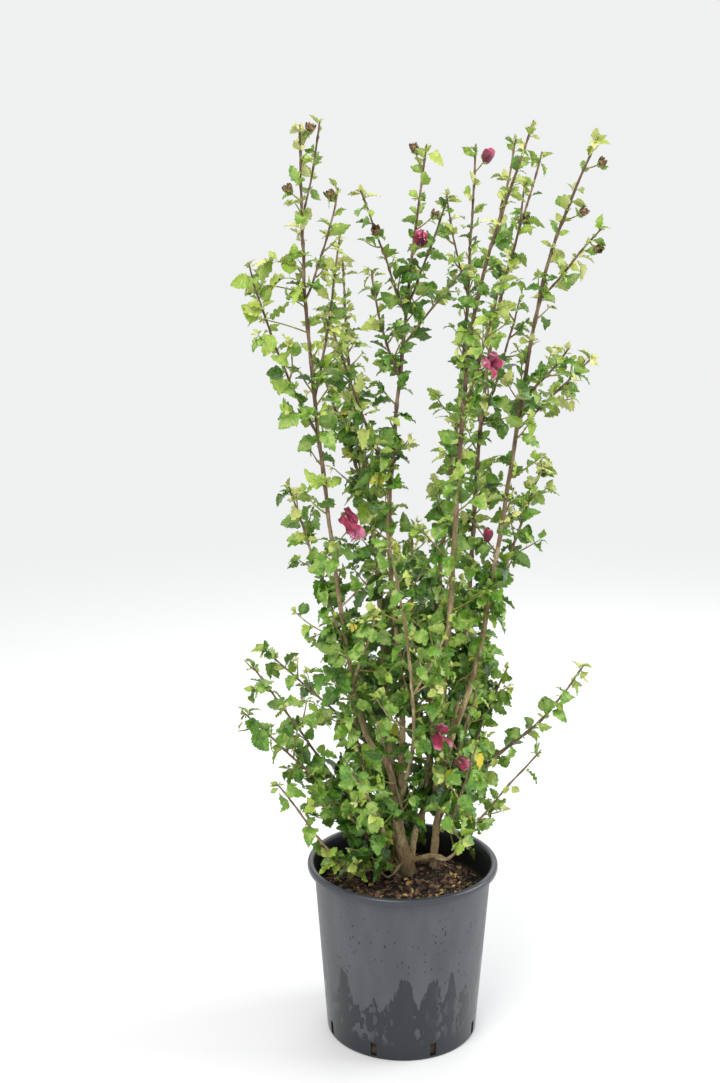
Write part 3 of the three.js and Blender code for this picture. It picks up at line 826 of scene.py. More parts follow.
def growTwig(root, way, reach, z, level, part, roll, order=0):
    # A leafy twig that turns up to the light, with finer twigs on a long one.
    tip = root + way * reach + up * reach * 0.10
    if not (isFree(tip) and insideReach(tip, 8)):
        return False
    curve = Bowed(root, tip, up * -reach * 0.035 + Vector([roll.gauss(0, 0.03) * reach for _ in range(3)]))
    nodes = []
    run = 9.0
    side = roll.uniform(0, 2 * math.pi)
    size = lerp(1, 0.85, part) * fall(z, growth["leafLow"], growth["leafHigh"])
    index = 0
    while run < reach - 2:
        share = run / reach
        nodes.append(share)
        heading = headingAt(curve, share)
        out = outward(heading, side + index * growth["turn"], math.radians(24))
        leafSize = size * lerp(1.0, 0.62, share**1.5)
        forked = order == 0 and reach > growth["forkedTwig"] and 0.25 < share < 0.62
        if forked and roll.random() < 0.5:
            growTwig(curve.at(share), out, reach * roll.uniform(0.32, 0.46), z, level, part, roll, 1)
        else:
            count = roll.choice((1, 1, 2)) if share < 0.7 else 2
            addTuft(curve.at(share), heading, out, leafSize, level + 1.1 * share**2, roll, count)
        run += growth["twigPitch"] * roll.uniform(0.75, 1.3)
        index += 1
    heading = headingAt(curve, 1)
    addTuft(curve.at(0.98), outward(heading, side, 0.9), heading, size * 0.55, level + 1.8, roll, 4)
    radius = 1.5 if order == 0 else 1.0
    kind = "youngBark" if reach > 60 and order == 0 else "greenBark"
    woodLine(curve.at, lambda share: lerp(radius, 0.75, share), reach, kind, roll, nodes, 6.0)
    return True


def growMass(owner, plant):
    seed = growth["seed"] + growth["seedStep"] * owner
    roll = random.Random(seed)
    spec = [*leaders, *shoots][owner]
    fullShare = fullness.get(spec["name"], 1.0)
    lowest = bareBelow.get(spec["name"], growth["bareBelow"])
    for rank, stem in enumerate(plant["stems"]):
        length = stem.length
        nodes = []
        run = 4.0 if rank or plant["bough"] is None else 0.0
        index = 0
        while run < length - 5:
            part = run / length
            place = stem.at(part)
            heading = stem.heading(part)
            z = place.z
            angle = seed + index * growth["turn"] + 0.9 * roll.random()
            lean = growth["lean"] + (roll.random() - 0.5) * growth["leanRange"]
            out = outward(heading, angle, math.radians(14) + 0.3 * roll.random())
            # How deep in the crown the leaf stands, for the painted shade there.
            shadeDepth = max(0.0, 1 - math.hypot(place.x - 30, place.y - 20) / 170)
            full = fall(z, growth["twigLow"], growth["twigHigh"]) * lerp(1, growth["twigEnd"], part**2)
            reach = full * roll.uniform(0.55, 1.12) * fullShare
            low, high, share = shortTwigs.get(spec["name"], (0, 0, 1))
            if low < z < high:
                reach *= share
            leafSize = fall(z, growth["leafLow"], growth["leafHigh"]) * lerp(1, growth["leafEnd"], part**2)
            leafSize *= lerp(0.62, 1, fullShare)
            level = tintAt(z, part, shadeDepth, roll) + sunlit.get(spec["name"], 0)
            nodes.append(part)
            twig = False
            if index % 2 == 0 and reach > growth["twigLeast"] and z > lowest:
                way = outward(heading, angle, lean)
                twig = growTwig(place, way, reach, z, level, part, roll)
            if not twig and z > lowest:
                bare = 0.04 if z < 1250 else 0.12
                count = roll.choice((3, 4, 5, 5)) if z < 1280 else roll.choice((2, 3, 3, 4))
                if fullShare < 1:
                    count = roll.choice((1, 2, 2) if fullShare < 0.75 else (2, 3, 3))
                if roll.random() > bare:
                    addTuft(place, heading, out, leafSize, level, roll, count)
                if z > 1150 and roll.random() < 0.4:
                    shrub.buds.append((place, outward(heading, angle + 2.4, 0.7), roll.uniform(2.6, 4.2)))
            pitch = fall(z, growth["pitchLow"], growth["pitchHigh"]) / thick(z)
            run += pitch * roll.uniform(0.75, 1.25) * (0.7 if fullShare < 0.45 else 1)
            index += 1
        heading = stem.heading(1)
        level = tintAt(stem.at(1).z, 1, 0, roll)
        tipSize = fall(stem.at(1).z, 30, 26) * lerp(0.6, 1, fullShare)
        addTuft(stem.at(0.985), outward(heading, seed, 1.0), heading, tipSize, level + 0.6, roll, 5)
        shrub.buds.append((stem.at(1), heading, roll.uniform(3.0, 4.6)))
        kind = "youngBark" if plant["bough"] else "shootBark"
        woodLine(stem.at, stem.radius, length, kind, roll, nodes, wobble=0.75)
        growSpurs(stem, roll)


def nearestPart(stem, place):
    parts = [0.02 + 0.01 * i for i in range(97)]
    return min(parts, key=lambda part: (stem.at(part) - place).length)


def growSpurs(stem, roll):
    for places, kept in ((stem.blooms, shrub.blooms), (stem.fruit, shrub.fruit)):
        for place in places:
            place = Vector(place)
            part = max(0.02, nearestPart(stem, place) - 0.03)
            start = stem.at(part)
            curve = Bowed(start, place, up * -1.5)
            reach = (place - start).length
            woodLine(curve.at, lambda share: lerp(1.3, 1.0, share), reach, "greenBark", roll, (), 4.0, 0.1)
            heading = headingAt(curve, 1)
            kept.append((place, heading))
            out = outward(heading, roll.uniform(0, 6), 0.5)
            addTuft(curve.at(0.7), heading, out, 18, 3.4, roll, 2)


bigTufts = [  # place, size, tint and count of the large pale leaves high on the left
    ((-188, -98, 1262), 42, 4.6, 3), ((-172, -96, 1238), 44, 4.2, 3), ((-166, -92, 1205), 40, 3.8, 3),
    ((-205, -104, 1228), 36, 4.6, 1), ((-158, -92, 1262), 38, 4.0, 2), ((-212, -112, 1180), 30, 4.0, 1),
]


def growBigTufts():
    roll = random.Random(77)
    stem = grown[0]["stems"][0]
    for place, size, level, count in bigTufts:
        place = Vector(place)
        root = stem.at(max(nearestPart(stem, place) - 0.02, 0))
        curve, reach = Bowed(root, place, up * 2), (place - root).length
        woodLine(curve.at, lambda share: lerp(1.2, 0.8, share), reach, "greenBark", roll, (), 5, 0.1)
        way = (place - root).normalized()
        addTuft(place, way, (way + Vector((-0.4, -0.5, 0.1))).normalized(), size, level, roll, count)


for owner, plant in enumerate(grown):
    growMass(owner, plant)
growBigTufts()


def growCreepers():
    # The bare shoot that dips to the soil in front and turns up, the leafy one that runs left of it,
    # and the thick foot of the one that creeps to the right.
    roll = random.Random(31)
    bare = [(12, 12, 290), (-2, 2, 283), (-14, -8, 271), (-23, -14, 266), (-31, -18, 272), (-51, -24, 309)]
    stout = [(18, 14, 284), (34, 10, 290), (48, 8, 294), (61, 6, 293), (72, 4, 290), (88, 4, 302)]
    for points, root, tip in ((bare, 2.6, 1.3), (stout, 5.4, 2.4)):
        curve = ThroughPoints(points)
        woodLine(
            curve.at, lambda share, root=root, tip=tip: lerp(root, tip, share), curveLength(curve), "oldBark",
            roll, (0.3, 0.6), 4, 1.0,
        )
    side = ThroughPoints([(-12, 6, 280), (-46, -14, 280), (-84, -34, 290), (-122, -58, 318)])
    woodLine(side.at, lambda share: lerp(2.2, 1.2, share), curveLength(side), "oldBark", roll, (), 5, 0.1)
    for i in range(12):
        share = 0.34 + 0.66 * i / 11
        heading = headingAt(side, share)
        out = outward(heading, i * growth["turn"], 0.3)
        lift = up + Vector((0, -0.4, 0))
        for _ in range(2):
            way = (out + Vector([roll.gauss(0, 0.5) for _ in range(3)]) + up * 0.5).normalized()
            addLeaf(side.at(share), way, lift, roll.uniform(15, 25), roll.uniform(3.6, 5.2), roll, True)


growCreepers()
print("the shrub has", len(shrub.leaves), "leaves,", shrub.skipped, "skipped")


# What Geometry Nodes make: bark tubes along lines, leaves and litter on points.
def geometryTree(name, inputs):
    return group(name, "GeometryNodeTree", [("Geometry", "geometry"), *inputs], [("Geometry", "geometry")])


def modified(obj, tree, values, name):
    # Sets the tree's inputs by identifier and gives the result as a plain mesh.
    modifier = obj.modifiers.new(tree.name, "NODES")
    modifier.node_group = tree
    for item in tree.interface.items_tree:
        if item.in_out == "INPUT" and item.name in values:
            modifier[item.identifier] = values[item.name]
    return plainMesh(obj, name)


def named(hand, label, kind):
    node = hand.add("GeometryNodeInputNamedAttribute", {"Name": label}, data_type=kind)
    return node.outputs["Attribute"]


def barkTubeTree():
    # Round tubes along lines of points, as thick as their girth, with the bark's relief.
    inputs = [("Sides", "int", 8), ("Relief", "float", 0.12), ("Ridge size", "float", 0.006)]
    inputs.append(("Bark", "material"))
    hand, given, out = geometryTree("barkTubes", inputs)
    line = hand.add("GeometryNodeMeshToCurve", {"Mesh": given["Geometry"]})
    ring = hand.add("GeometryNodeCurvePrimitiveCircle", {"Resolution": given["Sides"], "Radius": 1.0})
    girth = named(hand, "girth", "FLOAT")
    tube = hand.add(
        "GeometryNodeCurveToMesh",
        {"Curve": line.outputs[0], "Profile Curve": ring.outputs[0], "Scale": girth, "Fill Caps": True},
    )
    stretch = hand.vectors("MULTIPLY", hand.add("GeometryNodeInputPosition").outputs[0], (1, 1, 0.35))
    ripple = hand.ripple(stretch, hand.math("DIVIDE", 1.0, given["Ridge size"]), 2.0)
    height = hand.times(hand.times(hand.less(ripple, 0.5), given["Relief"]), girth)
    normal = hand.add("GeometryNodeInputNormal").outputs[0]
    offset = hand.add("ShaderNodeVectorMath", {0: normal, "Scale": height}, operation="SCALE")
    moved = hand.add("GeometryNodeSetPosition", {"Geometry": tube.outputs[0], "Offset": offset.outputs[0]})
    soft = hand.add("GeometryNodeSetShadeSmooth", {"Geometry": moved.outputs[0], "Shade Smooth": True})
    return hand.finish(soft.outputs[0], given["Bark"], out)


def sprayTree():
    # One of the collection's shapes on each point, turned and sized by the point's own values.
    inputs = [
        ("Shapes", "collection"), ("Size", "float", 1.0), ("Size spread", "float", 0.06),
        ("Seed", "int", 7), ("Finish", "material"),
    ]
    hand, given, out = geometryTree("sprays", inputs)
    vary = hand.chance("FLOAT", hand.less(1.0, given["Size spread"]), 1.0, given["Seed"])
    span = hand.times(hand.times(named(hand, "span", "FLOAT"), given["Size"]), vary)
    turn, shape = named(hand, "turn", "FLOAT_VECTOR"), named(hand, "shape", "INT")
    spread = hand.scatter(given["Geometry"], given["Shapes"], shape, turn, span)
    return hand.finish(spread, given["Finish"], out)


bitKinds = 10  # flakes of each kind of litter


def litterTree():
    # Loose bits that lie on the upward faces, turned at random.
    inputs = [
        ("Bits", "collection"), ("Density", "float", 1000.0), ("Least size", "float", 0.5),
        ("Largest size", "float", 1.0), ("Tilt", "float", 0.5), ("Seed", "int", 3), ("Finish", "material"),
    ]
    hand, given, out = geometryTree("litter", inputs)
    flat = hand.split(hand.add("GeometryNodeInputNormal").outputs[0])[2]
    inputs = {0: flat, 1: 0.6}
    upward = hand.add("FunctionNodeCompare", inputs, data_type="FLOAT", operation="GREATER_THAN").outputs[0]
    inputs = {
        "Mesh": given["Geometry"], "Selection": upward, "Density": given["Density"], "Seed": given["Seed"],
    }
    points = hand.add("GeometryNodeDistributePointsOnFaces", inputs).outputs[0]
    tilt = given["Tilt"]
    back = hand.times(tilt, -1.0)
    least, most = hand.combined(back, back, 0.0), hand.combined(tilt, tilt, 2 * math.pi)
    turn = hand.chance("FLOAT_VECTOR", least, most, given["Seed"])
    size = hand.chance("FLOAT", given["Least size"], given["Largest size"], given["Seed"])
    pick = hand.chance("INT", 0, bitKinds - 1, given["Seed"])
    return hand.finish(hand.scatter(points, given["Bits"], pick, turn, size), given["Finish"], out)


barkTubes = barkTubeTree()
sprays = sprayTree()
litter = litterTree()


def linesMesh(name, stretches):
    # Lines of points as edges, with the girth of each point.
    vertices, edges, girths = [], [], []
    for points, radii in stretches:
        first = len(vertices)
        vertices += [tuple(p * mm) for p in points]
        girths += [r * mm for r in radii]
        edges += [(first + i, first + i + 1) for i in range(len(points) - 1)]
    mesh = meshFrom(name, vertices, [], edges)
    mesh.attributes.new("girth", "FLOAT", "POINT").data.foreach_set("value", girths)
    return mesh


def tubes(name, stretches, sides, relief, ridge, finish):
    obj = linked(name + "Lines", linesMesh(name, stretches))
    values = {"Sides": sides, "Relief": relief, "Ridge size": ridge, "Bark": finish}
    return modified(obj, barkTubes, values, name)


# Trunk and boughs.
trunkLook = {"voxel": 1.4, "relief": 1.3, "boughShare": 0.22}


def boughNodes(bough, roll):
    nodes, run = [], 20.0
    while run < bough.length - 10:
        nodes.append(run / bough.length)
        run += roll.uniform(26, 44)
    return nodes


def trunkStretches():
    # The stocks, a stub for each stem and the root flares, as the solid has them.
    stretches = []
    centre = Vector(rootCrown["centre"])
    for stock in stocks.values():
        line = stockLine(stock)
        flare = [0.16 * max(1 - i / 5, 0) ** 2 for i in range(13)]
        radii = [stock["girth"] * (stock["slim"] * lerp(1, 0.8, i / 12) + flare[i]) for i in range(13)]
        stretches.append(([line.at(i / 12) for i in range(13)], radii))
    for spec, plant in zip([*leaders, *shoots], grown):
        if spec["name"] in springs:
            continue
        first = plant["bough"] or plant["stems"][0]
        end = first.at(0)
        if plant["bough"]:
            start = Vector(stocks[spec["stock"]]["fork"]) - up * growth["stubDrop"]
        else:
            start = centre.lerp(end, 0.6)
            start.z = centre.z - 4
        elbow = end - first.heading(0) * 0.5 * (end - start).length
        count = 9
        points, radii = [], []
        for i in range(count + 1):
            share = i / count
            points.append((1 - share) ** 2 * start + 2 * share * (1 - share) * elbow + share**2 * end)
            radii.append(first.root * lerp(1.3, 1.0, share))
        reach = trunkLook["boughShare"] if plant["bough"] else 0.05
        for i in range(1, 6):
            points.append(first.at(reach * i / 5))
            radii.append(first.radius(reach * i / 5) * lerp(1.0, 0.93, i / 5))
        stretches.append((points, radii))
    for i in range(rootCrown["flares"]):
        angle = (i + 0.3) / rootCrown["flares"] * 2 * math.pi
        reachX, reachY, rise = rootCrown["reach"]
        out = Vector((math.cos(angle) * reachX * 1.2, math.sin(angle) * reachY * 1.3, -rise * 0.75))
        points = [centre + out * (j / 6) - up * (5 + 4 * j / 6) for j in range(7)]
        stretches.append((points, [lerp(10, 3.0, j / 6) for j in range(7)]))
    return stretches


def burrMesh():
    sides, rings = 28, 12
    profile = [(math.sin(math.pi * i / rings), -math.cos(math.pi * i / rings)) for i in range(rings + 1)]
    mesh = turnedMesh("burr", profile, sides)
    reach, centre = rootCrown["reach"], rootCrown["centre"]
    for vertex in mesh.vertices:
        place = Vector(c * r * s for c, r, s in zip(vertex.co, reach, (0.72, 0.78, 0.5)))
        lump = 1 + 0.3 * noise.noise(place / 14)
        vertex.co = (place * lump + Vector(centre) - up * 6) * mm
    return mesh


def makeTrunk():
    wood = tubes("rootWood", trunkStretches(), 14, 0.0, 0.02, bark["oldBark"])
    obj = linked("rootWood", wood)
    other = linked("burr", burrMesh())
    bpy.ops.object.select_all(action="DESELECT")
    obj.select_set(True)
    other.select_set(True)
    bpy.context.view_layer.objects.active = obj
    bpy.ops.object.join()
    remesh = obj.modifiers.new("grow together", "REMESH")
    remesh.mode = "VOXEL"
    remesh.voxel_size = trunkLook["voxel"] * mm
    soften = obj.modifiers.new("soften", "SMOOTH")
    soften.factor = 0.5
    soften.iterations = 6
    mesh = plainMesh(obj, "root_wood")
    coordinates = np.empty(len(mesh.vertices) * 3)
    mesh.vertices.foreach_get("co", coordinates)
    normals = np.empty(len(mesh.vertices) * 3)
    mesh.vertex_normals.foreach_get("vector", normals)
    places, ways = coordinates.reshape(-1, 3) / mm, normals.reshape(-1, 3)
    for i, place in enumerate(places):
        ridge = noise.noise(Vector((place[0] / 5, place[1] / 5, place[2] / 16)))
        knot = noise.noise(Vector(place) / 11)
        places[i] += ways[i] * trunkLook["relief"] * (0.55 * ridge + 0.6 * knot)
    places[:, 2] = np.maximum(places[:, 2], 245)
    mesh.vertices.foreach_set("co", (places * mm).ravel())
    smoothed(mesh)
    mesh.materials.clear()
    return linked("root_wood", mesh, bark["oldBark"])


piece(makeTrunk(), "bark", "trunk")

for plant in grown:
    if plant["bough"]:
        roll = random.Random(round(plant["bough"].length))
        bough = plant["bough"]
        woodLine(bough.at, bough.radius, bough.length, "oldBark", roll, boughNodes(bough, roll), 5.0, 0.25)

woodLook = {
    "oldBark": (14, 0.34, 0.005), "youngBark": (8, 0.22, 0.004), "shootBark": (8, 0.22, 0.004),
    "greenBark": (5, 0.1, 0.004),
}
woodPieces = {"oldBark": "boughs", "youngBark": "stems", "shootBark": "low_shoots", "greenBark": "twigs"}
for kind, stretches in shrub.wood.items():
    sides, relief, ridge = woodLook[kind]
    wood = tubes(woodPieces[kind], stretches, sides, relief, ridge, bark[kind])
    obj = linked(woodPieces[kind], wood)
    piece(obj, "bark", *(boughNames if kind == "oldBark" else massNodes))
    print(woodPieces[kind], "has", len(wood.polygons), "faces")

# Leaves.
lobedHalf = [  # wedge base, rounded side lobe, toothed middle lobe
    (0, 0.02), (0.06, 0.14), (0.12, 0.27), (0.18, 0.32), (0.23, 0.41), (0.28, 0.405), (0.335, 0.475),
    (0.385, 0.445), (0.44, 0.455), (0.48, 0.37), (0.52, 0.325), (0.575, 0.37), (0.62, 0.325),
    (0.675, 0.345), (0.715, 0.265), (0.77, 0.275), (0.81, 0.195), (0.865, 0.185), (0.90, 0.115),
    (0.945, 0.085), (0.985, 0.012),
]
longHalf = [
    (0, 0.02), (0.07, 0.09), (0.14, 0.20), (0.20, 0.245), (0.25, 0.315), (0.30, 0.31), (0.36, 0.38),
    (0.41, 0.34), (0.455, 0.34), (0.495, 0.265), (0.535, 0.245), (0.595, 0.29), (0.64, 0.24), (0.695, 0.255),
    (0.735, 0.19), (0.79, 0.20), (0.83, 0.135), (0.885, 0.125), (0.92, 0.075), (0.96, 0.05), (0.99, 0.006),
]
ovateHalf = [
    (0, 0.02), (0.045, 0.17), (0.10, 0.29), (0.16, 0.34), (0.21, 0.42), (0.26, 0.40), (0.315, 0.475),
    (0.365, 0.43), (0.42, 0.475), (0.47, 0.415), (0.525, 0.445), (0.575, 0.37), (0.635, 0.395), (0.68, 0.315),
    (0.74, 0.325), (0.78, 0.24), (0.835, 0.235), (0.87, 0.155), (0.92, 0.135), (0.95, 0.07), (0.985, 0.012),
]
wedgeHalf = [  # narrow, toothed only beyond its middle
    (0, 0.016), (0.08, 0.035), (0.16, 0.065), (0.24, 0.10), (0.31, 0.14), (0.37, 0.185), (0.42, 0.18),
    (0.48, 0.245), (0.52, 0.22), (0.58, 0.28), (0.62, 0.235), (0.68, 0.265), (0.72, 0.20), (0.775, 0.21),
    (0.81, 0.14), (0.86, 0.135), (0.90, 0.075), (0.945, 0.055), (0.985, 0.008),
]
leafShapes = [  # half outline, width, fold, droop, twist, wave, hang, stalk
    (lobedHalf, 0.96, 0.34, 0.40, 0.25, 0.050, 0.42, 0.20),
    (longHalf, 1.10, 0.46, 0.46, 0.45, 0.040, 0.30, 0.20),
    (ovateHalf, 0.80, 0.26, 0.36, -0.4, 0.062, 0.50, 0.18),
    (lobedHalf, 0.88, -0.26, 0.30, 0.5, 0.056, 0.20, 0.18),
    (ovateHalf, 0.78, 0.40, 0.80, -0.6, 0.056, 0.40, 0.20),
    (longHalf, 1.0, 0.62, -0.10, 0.1, 0.024, 0.0, 0.08),
    (ovateHalf, 0.82, 0.58, 0.26, 0.5, 0.046, 0.15, 0.16),
    (wedgeHalf, 1.0, 0.50, 0.22, 0.3, 0.040, 0.0, 0.06),
    (wedgeHalf, 1.15, 0.40, 0.60, -0.4, 0.050, 0.10, 0.10),
]


def leafMesh(name, half, width, fold, droop, twist, wave, hang, stalk):
    # A blade creased along its midrib that hangs from a three-sided stalk: the margin has twice
    # the points of the midrib and of the line between them.
    phase = 3.1 * width + 7 * droop

    def bladePoint(row, share):
        x, y = half[row]
        side = share * y * width
        back = 0.22 * (1 - abs(share)) * min(x, 1 - x)  # veins sweep forward to the edge
        along = max(x - back, 0)
        ripple = wave * abs(share) ** 1.5 * math.sin(1.25 * row + 1.7 * share + phase)
        quilt = 0.024 * (abs(share) == 0.5) * (-1) ** (row // 2) * min(row, 4) / 4
        turn = twist * along
        height = fold * abs(side) + ripple + quilt
        lateral = side * math.cos(turn) - height * math.sin(turn)
        height = side * math.sin(turn) + height * math.cos(turn) - droop * along**1.9
        forward = along * (1 - 0.18 * abs(droop) * along)
        reach = forward * math.cos(hang) + height * math.sin(hang)
        return stalk + reach, lateral, height * math.cos(hang) - forward * math.sin(hang)

    vertices, faces, uvs, index = [], [], [], {}
    last = len(half) - 1
    for row in range(last + 1):
        for share in (-1.0, -0.5, 0.0, 0.5, 1.0):
            if row % 2 == 0 or abs(share) == 1.0:
                index[row, share] = len(vertices)
                vertices.append(bladePoint(row, share))
                uvs.append((half[row][0], 0.5 + 0.5 * share))
    for row in range(0, last, 2):
        for way in (1, -1):
            rib, mid, edge = 0.0, 0.5 * way, 1.0 * way
            corners = [
                (index[row, rib], index[row + 2, rib], index[row + 2, mid], index[row, mid]),
                (index[row, mid], index[row + 1, edge], index[row, edge]),
                (index[row, mid], index[row + 2, mid], index[row + 1, edge]),
                (index[row + 2, mid], index[row + 2, edge], index[row + 1, edge]),
            ]
            faces += corners if way > 0 else [face[::-1] for face in corners]
    first = len(vertices)
    for x, z in ((0, -0.01), (stalk + 0.03, -0.006)):
        for corner in range(3):
            angle = corner * 2 * math.pi / 3 + 0.5
            vertices.append((x, 0.013 * math.cos(angle), z + 0.013 * math.sin(angle)))
            uvs.append((0.02, 0.5))
    for corner in range(3):
        after = (corner + 1) % 3
        faces.append((first + corner, first + after, first + 3 + after, first + 3 + corner))
    mesh = meshFrom(name, vertices, faces)
    layer = mesh.uv_layers.new(name="UVMap")
    for loop in mesh.loops:
        layer.data[loop.index].uv = uvs[loop.vertex_index]
    smoothed(mesh)
    return mesh


def shapeCollection(name, meshes):
    # Objects whose names sort in the order of their index; kept out of the view layer.
    collection = bpy.data.collections.new(name)
    for i, mesh in enumerate(meshes):
        collection.objects.link(bpy.data.objects.new(f"{name}_{i:02d}", mesh))
    return collection


leafCollection = shapeCollection("leafShape", [leafMesh(f"leaf{i}", *s) for i, s in enumerate(leafShapes)])

leafTones = {  # sRGB ground and blotch
    "deep": ((26, 60, 8), (50, 92, 18)),
    "dark": ((46, 90, 12), (84, 130, 30)),
    "mid": ((70, 118, 24), (112, 156, 56)),
    "fresh": ((100, 146, 38), (156, 184, 90)),
    "light": ((142, 174, 56), (170, 194, 86)),
    "lime": ((172, 190, 82), (198, 206, 118)),
    "pale": ((200, 206, 116), (220, 218, 152)),
    "yellow": ((208, 190, 52), (160, 172, 56)),
}
veinPale = (170, 190, 96)
underPale = (128, 156, 88)


leafLook = {  # reach of a vein's step from the midrib, shares of midrib, ribs and the paler underside
    "sweep": 0.24, "ribSpacing": 0.09, "midrib": 0.22, "ribs": 0.12, "under": 0.3, "roughness": 0.34,
}


def leafMaterial(name, ground, light):
    made, hand, shader = material(name)
    blotch, grain = blotches(hand, 0.014, 0.0045)
    tone = hand.mix(hand.step(blotch, 0.42, 0.62), linear(ground), linear(light))
    along, side, _ = hand.split(hand.add("ShaderNodeTexCoord").outputs["UV"])
    across = hand.times(hand.magnitude(hand.less(side, 0.5)), 2.0)
    midrib = hand.less(1.0, hand.step(across, 0.02, 0.12))
    swept = hand.less(along, hand.times(across, leafLook["sweep"]))
    wave = hand.math("PINGPONG", swept, leafLook["ribSpacing"])
    ribs = hand.less(1.0, hand.step(wave, 0.0, 0.016))
    veins = hand.math("MAXIMUM", hand.times(midrib, leafLook["midrib"]), hand.times(ribs, leafLook["ribs"]))
    tone = hand.mix(veins, tone, linear(veinPale))
    back = hand.add("ShaderNodeNewGeometry").outputs["Backfacing"]
    tone = hand.mix(hand.times(back, leafLook["under"]), tone, linear(underPale))
    puffed = hand.plus(hand.times(hand.step(wave, 0.0, 0.07), 0.35), grain)
    surfaced(hand, shader, tone, leafLook["roughness"], (puffed, 0.7, 0.0012), 0.5)
    return made


def turnOf(heading, facing):
    # Euler turn that takes +X to heading and +Z to facing.
    side = facing.cross(heading).normalized()
    facing = heading.cross(side)
    return Matrix((heading, side, facing)).transposed().to_euler()


def pointsMesh(name, items):
    # Points with the turn, span and shape that the sprays tree reads.
    mesh = meshFrom(name, [tuple(place * mm) for place, *_ in items], [])
    turns = [c for _, turn, _, _ in items for c in turn]
    mesh.attributes.new("turn", "FLOAT_VECTOR", "POINT").data.foreach_set("vector", turns)
    mesh.attributes.new("span", "FLOAT", "POINT").data.foreach_set("value", [s * mm for *_, s, _ in items])
    mesh.attributes.new("shape", "INT", "POINT").data.foreach_set("value", [k for *_, k in items])
    return mesh


def spray(name, items, collection, finish, seed, spread=0.06):
    obj = linked(name + "Points", pointsMesh(name, items))
    values = {"Shapes": collection, "Size": 1.0, "Size spread": spread, "Seed": seed, "Finish": finish}
    return linked(name, modified(obj, sprays, values, name))


paintedLightAndShade = [  # lowest and highest, leftmost and rightmost, and the steps of leafTints added there: painted light where the steps are positive, painted shade in the heart of the crown where they are negative
    (250, 1060, -400, 400, 0.3), (1110, 1290, 50, 215, -0.9), (250, 560, -400, -120, 0.4),
    (250, 640, 130, 400, 0.5),
]


paleLook = {"above": 840, "tint": 3.3, "length": 28}  # lower down only short, young leaves are pale
yellowLook = {"share": 0.036, "below": 1050, "least": 18, "longest": 35, "middle": 30, "reach": 110}


def dealLeaves():
    dealt = {tint: [] for tint in leafTints}
    roll = random.Random(41)
    for root, heading, facing, length, shape, tint in shrub.leaves:
        # Painted light on the low and outer leaves, painted shade in the heart of the crown.
        for low, high, left, right, steps in paintedLightAndShade:
            if low < root.z < high and left < root.x < right:
                tint += steps
        if root.z < paleLook["above"]:
            tint = min(tint, paleLook["tint"] + 0.2 * max(0, paleLook["length"] - length))
        index = int(min(max(round(tint), 0), 6))
        name = leafTints[index]
        picked = roll.random() < yellowLook["share"] and root.z < yellowLook["below"]
        if picked and yellowLook["least"] < length < yellowLook["longest"]:
            if abs(root.x - yellowLook["middle"]) < yellowLook["reach"]:
                name = "yellow"
        dealt[name].append((root, turnOf(heading, facing), length, shape))
    return dealt


for seed, (tint, items) in enumerate(dealLeaves().items()):
    finish = leafMaterial(f"{tint}Leaf", *leafTones[tint])
    obj = spray(f"leaves_{tint}", items, leafCollection, finish, seed)
    piece(obj, "foliage", *massNodes)
    print(obj.name, len(items), "leaves,", sum(len(p.vertices) - 2 for p in obj.data.polygons), "triangles")


# Shapes gathered from curved sheets.
class Gathered:
    # Sheets given by a function of (s, t), collected into one mesh with a mark for each point.
    def __init__(self):
        self.vertices, self.faces, self.marks = [], [], []

    def sheet(self, shape, rows, columns, frameOf, wrap=False, dusk=1.0):
        first = len(self.vertices)
        for i in range(rows + 1):
            for j in range(columns + (0 if wrap else 1)):
                s, t = i / rows, j / columns
                self.vertices.append(tuple((frameOf @ Vector(shape(s, t))) * mm))
                self.marks.append(s**dusk)
        width = columns + (0 if wrap else 1)
        for i in range(rows):
            for j in range(columns):
                a, b = first + i * width + j, first + i * width + (j + 1) % width
                self.faces.append((a, b, b + width, a + width))

    def piece(self, name, finish):
        mesh = meshFrom(name, self.vertices, self.faces)
        mesh.attributes.new("along", "FLOAT", "POINT").data.foreach_set("value", self.marks)
        smoothed(mesh, 50)
        return linked(name, mesh, finish)


def standing(place, heading, turn=0.0):
    # A frame at place whose Z is the heading.
    axis = heading.to_track_quat("Z", "Y").to_matrix().to_4x4()
    return Matrix.Translation(place) @ axis @ Matrix.Rotation(turn, 4, "Z")


# Blooms.
bloomLook = {"furled": 27, "girth": 9.0, "sepal": 12}
petals, sepals = Gathered(), Gathered()


def sepalsAround(frameOf, size, girth, opening=0.0):
    for k in range(5):
        turn = Matrix.Rotation(2 * math.pi * k / 5, 4, "Z")

        def blade(s, t):
            half = 0.42 * girth * math.sin(math.pi * min(s * 0.86 + 0.14, 1)) * (1 - s * 0.35)
            radius = girth * (0.32 + 0.75 * math.sin(s * 1.35)) + opening * size * s * s
            return (radius, (t - 0.5) * 2 * half, size * s - 2)

        sepals.sheet(blade, 6, 3, frameOf @ turn)


def furledBloom(place, heading, roll, length, girth, crumple=0.05):
    # Petals wound round one another, each with its free edge a little peeled back.
    frameOf = standing(place - heading * length * 0.4, heading, roll.uniform(0, 6))
    for k in range(5):
        start = 2 * math.pi * k / 5 + roll.uniform(-0.2, 0.2)
        tall, peel = roll.uniform(0.86, 1.08), roll.random()

        def wound(s, t):
            angle = start + t * 2.6 + 0.9 * s
            swell = 0.32 + 0.68 * math.sin(math.pi * min(s * 0.80 + 0.06, 1)) ** 0.8
            radius = girth * swell * (0.80 + 0.20 * t) + girth * 0.45 * peel * s**4 * t
            lift = tall * length * s - length * 0.16 * s**3 * (2 * t - 1) ** 2
            pleat = crumple * girth * math.sin(11 * t + 4 * s)
            return ((radius + pleat) * math.cos(angle), (radius + pleat) * math.sin(angle), lift)

        petals.sheet(wound, 10, 12, frameOf, dusk=2.6)
    sepalsAround(frameOf, bloomLook["sepal"], girth * 0.8)


